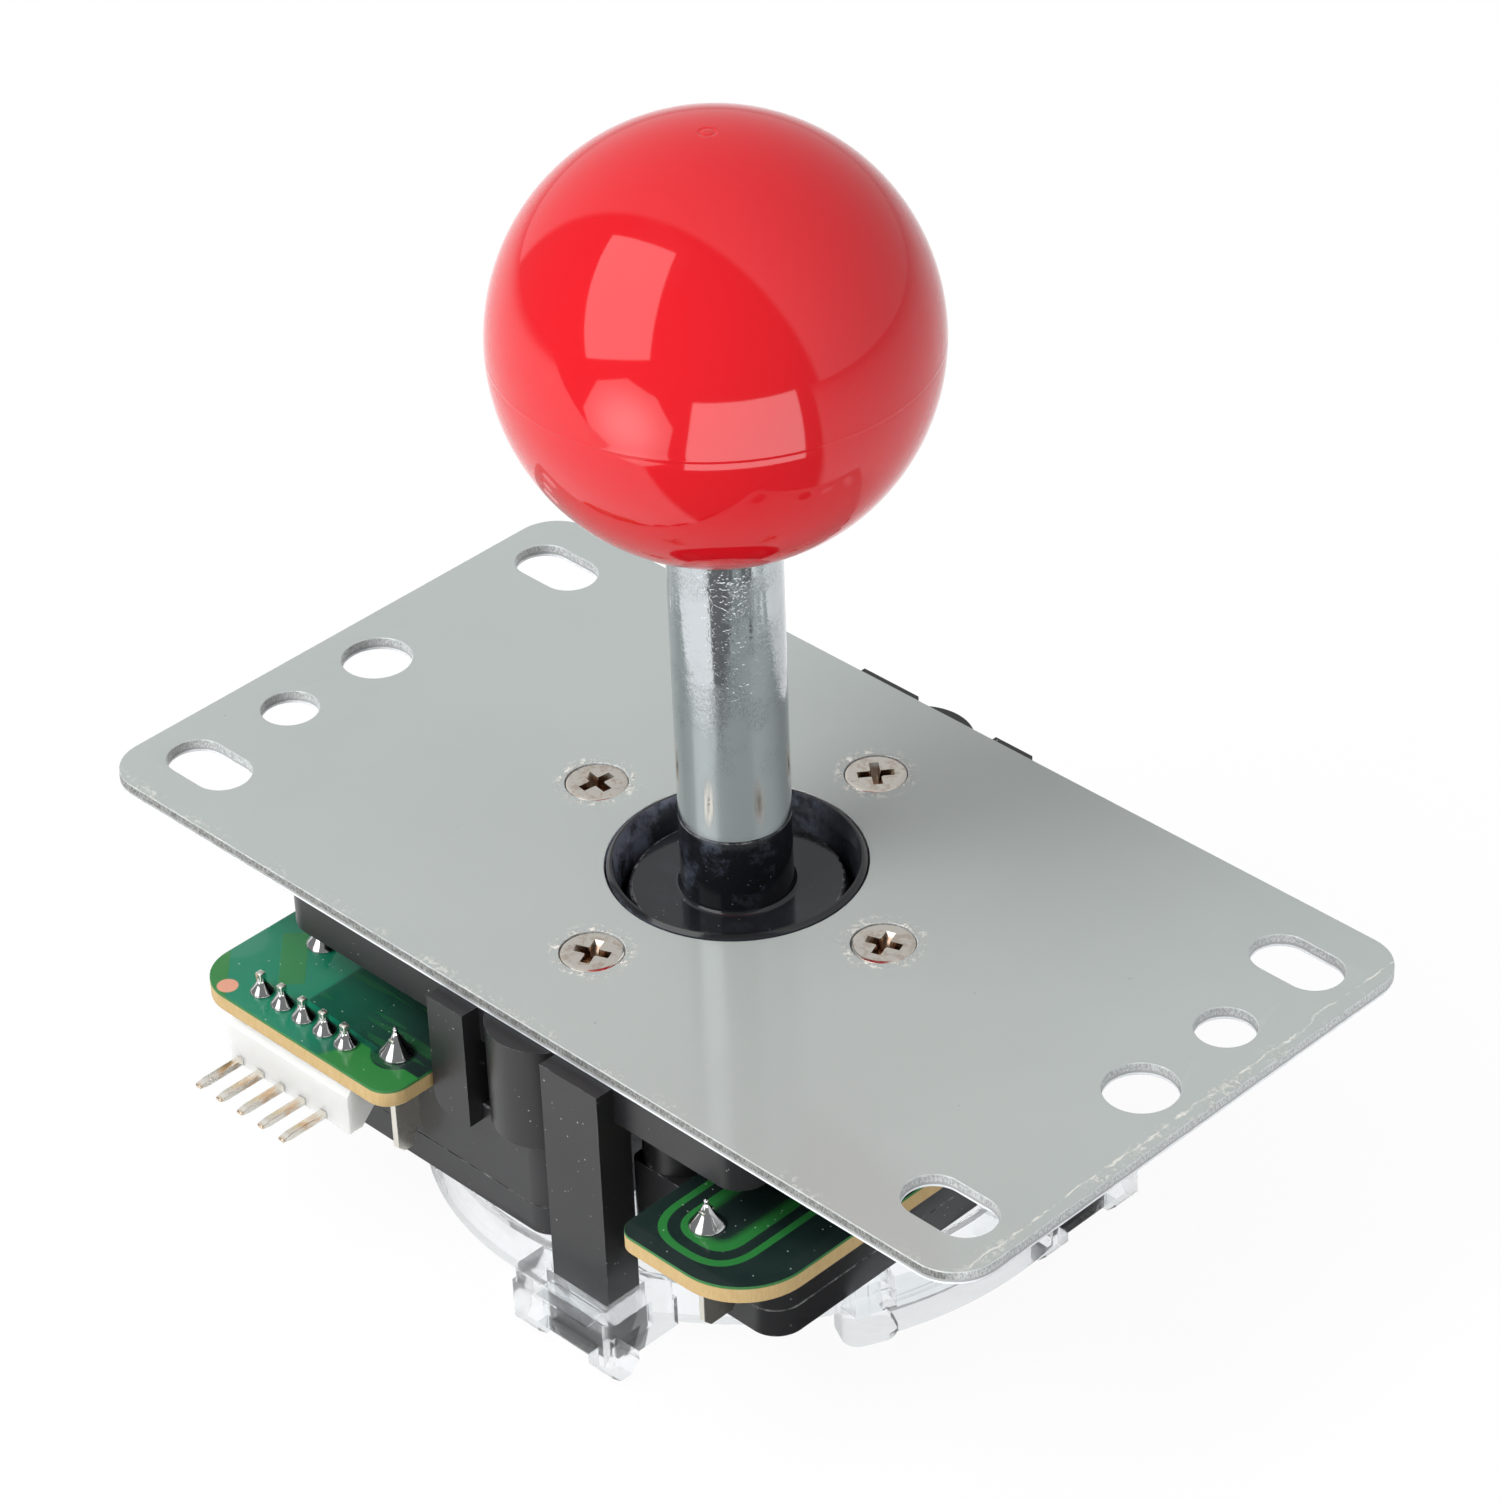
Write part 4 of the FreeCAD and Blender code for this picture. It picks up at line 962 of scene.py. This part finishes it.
class LEVER_OT_board(bpy.types.Operator):
    """Make the green board"""
    bl_idname = "lever.board"
    bl_label = "Circuit board"

    def execute(self, context):
        given = context.scene.lever_board
        dress("circuit_board", self.laminate(given), given.arris / MM)
        return {"FINISHED"}

    def laminate(self, given):
        """Green mask with lighter tracks, a copper pad, and a tan cut edge."""
        finish = Finish("board_green", given.green, 0.12, Coat_Weight=0.6, Coat_Roughness=0.04)
        top = corner("circuit_board", True).z
        fibres = finish.noise(5.0, 3, 0.6, (1, 1, 0.2))
        cloud = finish.noise(0.25, 3)
        wall = finish.wall(0.3, 0.75)
        pour_end, pour_step, step_y = -21.5, 9.0, -28.6
        pad_x, pad_y, pad_radius = -27.8, -31.4, 0.82
        end = (1 - finish.y.between(step_y, step_y + 0.4)) * pour_step + pour_end
        left = (1 - (finish.x - end).between(-0.2, 0.2) * 0.6) * (1 - finish.x.between(-21.0, -8.0))
        mask = finish.blend(cloud, darker(given.green, 0.75), lighter(given.green, 0.02))
        mask = finish.blend(left, mask, given.pour)
        track = self.tracks(finish)
        mask = finish.blend(track, mask, given.track)
        pad = 1 - finish.reach(pad_x, pad_y).between(pad_radius, pad_radius + 0.13)
        mask = finish.blend(pad, mask, given.copper)
        tan = finish.blend(fibres, darker(given.edge, 0.84), lighter(given.edge, 0.12))
        rim = finish.z.between(top - 0.3, top - 0.2) * finish.wall(0.96, 0.995)
        colour = finish.blend(wall, mask, tan)
        dust = finish.specks(1.1, 0.09) * (1 - wall) * 0.6
        colour = finish.blend(dust, colour, tint(200, 214, 205))
        finish.set("Base Color", finish.blend(rim, colour, given.track))
        finish.set("Roughness", 0.14 + wall * 0.45 + cloud * 0.08 + pad * 0.2)
        finish.set("Coat Weight", 0.6 - (wall + pad).smallest(1.0) * 0.6)
        finish.bump(fibres * wall * 3 + cloud + track * 2, 0.006)
        return finish

    def tracks(self, finish):
        """Where copper lies under the mask: two loops at the front right, and patches at the front left."""
        squareness, middle_x, bend_y = 2.7, 23.1, -25.4
        across = abs(finish.x - middle_x)
        along = (bend_y - finish.y).largest(0.0)
        reach = (across ** squareness + along ** squareness) ** (1 / squareness)
        loops = reach.within(3.8, 3.9, 4.45, 4.55) + reach.within(1.3, 2.3, 2.85, 2.95)
        right = loops * finish.x.between(10.0, 11.0) * (1 - finish.y.between(-8.5, -8.0))
        total = finish.x + finish.y
        patch = total.within(-53.5, -53.3, -50.4, -50.2)
        patch = patch * (finish.x - finish.y).within(-6.2, -6.0, 3.6, 3.8)
        tip = 1 - total.between(-59.4, -59.2)
        joint_x, joint_y, clearance = -11.0, -28.0, 2.1
        foot = (finish.y * -0.45 + finish.x).between(-1.2, -0.8) * (1 - finish.y.between(-29.2, -28.9))
        foot = foot * finish.reach(joint_x, joint_y).between(clearance, clearance + 0.2)
        lines = finish.noise(0.9, 1, 0.4, (0.12, 1, 1), 23).between(0.56, 0.6)
        lines = lines * finish.x.between(-21.5, -21.0)
        left = (patch * 0.8 + tip + foot + lines * 0.25) * (1 - finish.y.between(-16.0, -15.0))
        return (left * (1 - finish.x.between(-6.5, -6.0)) + right).smallest(1.0)


class LEVER_OT_solder(bpy.types.Operator):
    """Make the bright solder joints"""
    bl_idname = "lever.solder"
    bl_label = "Solder joints"

    def execute(self, context):
        given = context.scene.lever_board
        tin = metal("solder_tin", given.solder, roughness=0.09, stretch=(1, 1, 1), grain=0.004)
        top = corner("circuit_board", True).z
        ring = ring_tree()
        made = []
        common_terminal, open_terminal = Vector((-26.2, -22.3)), Vector((-11.0, -28.0))
        for spot in (common_terminal, open_terminal):
            source = self.joint(radius=1.5, height=2.3, wire=0.2)
            made.append(grown("joints", ring, piece=source, finish=tin.material, count=4,
                              radius=spot.length * MM, phase=math.atan2(spot.y, spot.x), height=top * MM,
                              first_turn=0.4, turn_step=1.1))
            bpy.data.objects.remove(source)
        source = self.joint(radius=1.05, height=1.35, wire=0.36)
        pitch, count, middle, row = 2.54, 5, -20.0, -30.0
        start = Vector((middle - pitch * (count - 1) / 2, row, top))
        made.append(grown("joints", row_tree(), piece=source, finish=tin.material, count=count,
                          pitch=pitch * MM, start=start * MM))
        bpy.data.objects.remove(source)
        place(merged(made, "solder"), tin, "solder_joints")
        return {"FINISHED"}

    def joint(self, radius, height, wire):
        """One cone of solder, round at its foot, with a cut wire or a pin standing out of its tip."""
        profile = [(0, -0.02), (radius * 0.96, -0.02), (radius, 0.08), (radius * 0.97, 0.2)]
        for k in range(1, 12):
            share = k / 12
            waist = (1 - share) ** 1.4
            profile.append((wire + (radius * 0.94 - wire) * waist, 0.24 + (height - 0.24) * share))
        profile += [(wire, height + 0.05), (wire * 0.9, height + 0.22), (wire * 0.5, height + 0.3),
                    (0, height + 0.32)]
        return turned("joint", profile, segments=40, sharp=60)


class LEVER_OT_header(bpy.types.Operator):
    """Make the white header and its five bent pins"""
    bl_idname = "lever.header"
    bl_label = "Pin header"

    def execute(self, context):
        given = context.scene.lever_board
        dress("header_housing", self.nylon(given.header), 0.16)
        dress("header_pins", self.tinned(given.pin), 0.08)
        return {"FINISHED"}

    def nylon(self, colour):
        """Natural nylon, a little clouded, which light enters."""
        finish = Finish("header_white", colour, 0.42, Subsurface_Weight=0.7, Subsurface_Scale=0.004,
                        Subsurface_Radius=(1.0, 0.95, 0.9))
        cloud = finish.noise(0.5, 3)
        finish.set("Base Color", finish.blend(cloud, darker(colour, 0.94), colour))
        finish.set("Roughness", 0.36 + cloud * 0.15)
        finish.bump(cloud + finish.noise(4.0, 2), 0.006)
        return finish

    def tinned(self, colour):
        """Tinned brass, with bare brass at the cut ends and in streaks behind them."""
        finish = metal("pin_tinned", colour, roughness=0.24, scratch=0.4, stretch=(2, 0.3, 2), grain=0.004,
                       plain=False)
        along = finish.y - corner("header_pins", False).y
        tip = 1 - along.between(0.0, 0.5)
        bare = along.within(1.7, 2.6, 3.7, 4.4)
        streak = finish.noise(1.6, 2, 0.6, (1, 0.3, 1), 4).between(0.4, 0.6)
        tone = finish.blend(bare * streak * 0.7, colour, tint(222, 180, 132))
        finish.set("Base Color", finish.blend(tip * 0.6, tone, tint(196, 160, 120)))
        return finish


class LEVER_OT_gate(bpy.types.Operator):
    """Make the clear gate with its loops, wings and restrictor plate"""
    bl_idname = "lever.gate"
    bl_label = "Clear gate"

    def execute(self, context):
        finish = self.plastic(context.scene.lever_housing.clear)
        for node in ("gate_frame", "gate_plate"):
            dress(node, finish, 0.25, steps=3)
        return {"FINISHED"}

    def plastic(self, colour):
        """Clear plastic with a faint swell."""
        finish = Finish("gate_clear", colour, 0.04, Transmission_Weight=1.0, IOR=1.17, Alpha=0.84,
                        Coat_Weight=0.7, Coat_Roughness=0.02)
        cloud = finish.noise(0.2, 3)
        finish.bump(cloud, 0.05)
        finish.set("Roughness", 0.01 + cloud * 0.02)
        return finish


class LEVER_OT_stage(bpy.types.Operator):
    """Make the floor, the lamps, the white surround and the camera"""
    bl_idname = "lever.stage"
    bl_label = "Floor, lamps and camera"

    def execute(self, context):
        given = context.scene.lever_studio
        scene = context.scene
        scene.view_settings.view_transform = "Standard"
        self.surround(scene)
        self.floor(given)
        self.lamp("window", (-0.205, -0.769, 0.605), (0.68, 1.01), given.window, lean=23)
        self.lamp("low window", (0.79, -0.484, -0.375), (0.96, 0.77), given.window * 1.25)
        umbrella_radius = 395.0
        umbrella = self.lamp("umbrella", (0.04, -0.96, -0.275), (0.79, 0.79), given.window * 0.15,
                             form="DISK", spread=60)
        umbrella.visible_glossy = False
        self.octagon(umbrella.location / MM, umbrella.matrix_basis.to_3x3(), umbrella_radius, given.window)
        overhead = self.lamp("overhead", (-0.17, -0.51, 0.84), (0.6, 0.6), given.overhead)
        overhead.visible_glossy = False
        self.camera(scene, given.lens)
        return {"FINISHED"}

    def surround(self, scene):
        """A white tent behind and above the lever, a dim room in front, and white where the camera looks."""
        world = bpy.data.worlds.new("surround")
        scene.world = world
        world.use_nodes = True
        sky = Graph(world.node_tree)
        sky.nodes.clear()
        way = sky.node("ShaderNodeTexCoord", {}, {}, "Generated")

        def along(direction):
            return sky.value("ShaderNodeVectorMath", {"operation": "DOT_PRODUCT"}, {0: way, 1: direction},
                             "Value")

        tent = sky.value("ShaderNodeMapRange", {"interpolation_type": "SMOOTHSTEP"},
                         {"Value": along(TENT_SIDE), "From Min": -0.03, "From Max": 0.03,
                          "To Min": ROOM_LIGHT, "To Max": along(TENT_FADE) + TENT_LIGHT})
        lit = sky.node("ShaderNodeBackground", {}, {"Color": SURROUND_TINT, "Strength": tent})
        white = sky.node("ShaderNodeBackground", {}, {"Color": (1, 1, 1, 1), "Strength": 1.0})
        mix = sky.node("ShaderNodeMixShader", {}, {0: sky.seen(), 1: lit, 2: white})
        sky.links.new(mix, sky.nodes.new("ShaderNodeOutputWorld").inputs[0])

    def floor(self, given):
        """A plain pale floor with a soft shadow, seen as a round table in reflections, with a painted
        reflection of the dim room to the right of and in front of the lever, and not from below.
        """
        shape = bmesh.new()
        bmesh.ops.create_grid(shape, x_segments=1, y_segments=1, size=3000.0)
        bmesh.ops.translate(shape, vec=(0, 0, corner("gate_frame", False).z - 0.05), verts=shape.verts)
        floor = from_bmesh("floor", shape)
        finish = Finish("pale_floor", given.floor, 0.8)
        seen = finish.seen()
        below = finish.value("ShaderNodeNewGeometry", {}, {}, "Backfacing")
        table_x, table_y, table_radius = -5.0, 9.0, 127.0
        beyond = finish.reach(table_x, table_y).between(table_radius, table_radius + 3.0)
        beyond = beyond * (1 - finish.y.between(6.0, 10.0))
        beyond = beyond * (finish.x * 0.75 - finish.y * 0.661).between(89.0, 92.0)
        # A dark patch to the right of and in front of the lever, which only glossy rays see, is a painted
        # reflection of the dim room in the table.
        painted_room_reflection = finish.x.between(17.0, 23.0) * (1 - finish.y.between(8.0, 16.0)) * finish.ray("Glossy")
        finish.set("Base Color", finish.blend(painted_room_reflection * 0.85, given.floor, (0, 0, 0)))
        glow = finish.node("ShaderNodeEmission", {}, {})
        clear = finish.node("ShaderNodeBsdfTransparent", {}, {})
        plain = finish.node("ShaderNodeMixShader", {},
                            {0: seen * 0.95, 1: finish.shader.outputs[0], 2: glow})
        whole = finish.node("ShaderNodeMixShader", {},
                            {0: (beyond * (1 - seen)).largest(below), 1: plain, 2: clear})
        finish.links.new(whole, finish.output.inputs[0])
        floor.data.materials.append(finish.material)

    def lamp(self, name, way, extent, radiance, form="RECTANGLE", lean=0, spread=180):
        """One soft lamp a metre from the ball, in a direction from it, as bright as its radiance says."""
        light = bpy.data.lights.new(name, "AREA")
        light.shape = form
        light.size, light.size_y = extent
        light.energy = radiance * math.pi * extent[0] * extent[1]
        light.spread = math.radians(spread)
        lamp = bpy.data.objects.new(name, light)
        centre = Vector((0, 0, bpy.context.scene.lever_ball.centre))
        lamp.location = centre + Vector(way).normalized()
        lamp.rotation_mode = "QUATERNION"
        aim = (centre - lamp.location).to_track_quat("-Z", "Y")
        lamp.rotation_quaternion = aim @ Quaternion((0, 0, 1), math.radians(lean))
        bpy.context.scene.collection.objects.link(lamp)
        return lamp

    def octagon(self, centre, turn, radius, radiance):
        """The umbrella's own shape, brightest in its middle, which only reflections show."""
        shape = bmesh.new()
        shape.faces.new([shape.verts.new(centre + turn @ Vector((x, y, 0)))
                         for x, y in circle(radius, count=8)])
        panel = from_bmesh("umbrella_panel", shape)
        finish = Finish("umbrella_glow", (0, 0, 0), 1.0, Specular_IOR_Level=0.0, Emission_Strength=radiance)
        offset = finish.value("ShaderNodeVectorMath", {"operation": "DISTANCE"},
                              {0: finish.place, 1: centre}, "Value")
        rim = offset.between(radius * 0.1, radius)
        finish.set("Emission Color", finish.blend(rim, (1.65, 1.65, 1.65), (0.8, 0.8, 0.8)))
        panel.data.materials.append(finish.material)
        panel.visible_camera = False
        panel.visible_diffuse = False
        panel.visible_shadow = False

    def camera(self, scene, lens):
        """The photograph's viewpoint, worked out from the plate's holes and slots."""
        data = bpy.data.cameras.new("camera")
        data.sensor_width = 36.0
        data.lens = lens
        data.shift_x = 0.0026
        data.shift_y = 0.0849
        data.clip_start = 0.02
        data.clip_end = 20.0
        camera = bpy.data.objects.new("camera", data)
        right = Vector((0.71135, 0.70213, -0.03156))
        down = Vector((0.40147, -0.44279, -0.80172))
        ahead = Vector((-0.57689, 0.55763, -0.59687))
        turn = Matrix((right, -down, -ahead)).transposed()
        camera.rotation_mode = "QUATERNION"
        camera.rotation_quaternion = turn.to_quaternion()
        camera.location = Vector((250.06, -240.757, 256.48)) * MM
        scene.collection.objects.link(camera)
        scene.camera = camera


class LEVER_PT_panel(bpy.types.Panel):
    """Buttons for each group of pieces"""
    bl_idname = "LEVER_PT_panel"
    bl_label = "Arcade lever"
    bl_space_type = "VIEW_3D"
    bl_region_type = "UI"
    bl_category = "Lever"

    def draw(self, context):
        for operator in OPERATORS:
            self.layout.operator(operator.bl_idname)
        for name in SETTINGS:
            group = getattr(context.scene, name)
            box = self.layout.box()
            for key in group.bl_rna.properties.keys():
                if key not in ("rna_type", "name"):
                    box.prop(group, key)


SETTINGS = {"lever_ball": BallSettings, "lever_works": LeverSettings, "lever_plate": PlateSettings,
            "lever_housing": HousingSettings, "lever_board": BoardSettings, "lever_studio": StudioSettings}
OPERATORS = (LEVER_OT_ball, LEVER_OT_shaft, LEVER_OT_spring, LEVER_OT_plate, LEVER_OT_screws,
             LEVER_OT_housing, LEVER_OT_switches, LEVER_OT_board, LEVER_OT_solder, LEVER_OT_header,
             LEVER_OT_gate, LEVER_OT_stage)


def register():
    """Make the settings, operators and panel known to Blender."""
    for kind in (*SETTINGS.values(), *OPERATORS, LEVER_PT_panel):
        bpy.utils.register_class(kind)
    for name, kind in SETTINGS.items():
        setattr(bpy.types.Scene, name, bpy.props.PointerProperty(type=kind))


def unregister():
    """Take the settings, operators and panel out again."""
    for name in SETTINGS:
        delattr(bpy.types.Scene, name)
    for kind in (LEVER_PT_panel, *OPERATORS, *SETTINGS.values()):
        bpy.utils.unregister_class(kind)


def main():
    """Build every piece and the stage."""
    register()
    bpy.ops.lever.ball()
    bpy.ops.lever.shaft()
    bpy.ops.lever.spring()
    bpy.ops.lever.plate()
    bpy.ops.lever.screws()
    bpy.ops.lever.housing()
    bpy.ops.lever.switches()
    bpy.ops.lever.board()
    bpy.ops.lever.solder()
    bpy.ops.lever.header()
    bpy.ops.lever.gate()
    bpy.ops.lever.stage()


if __name__ == "__main__":
    main()
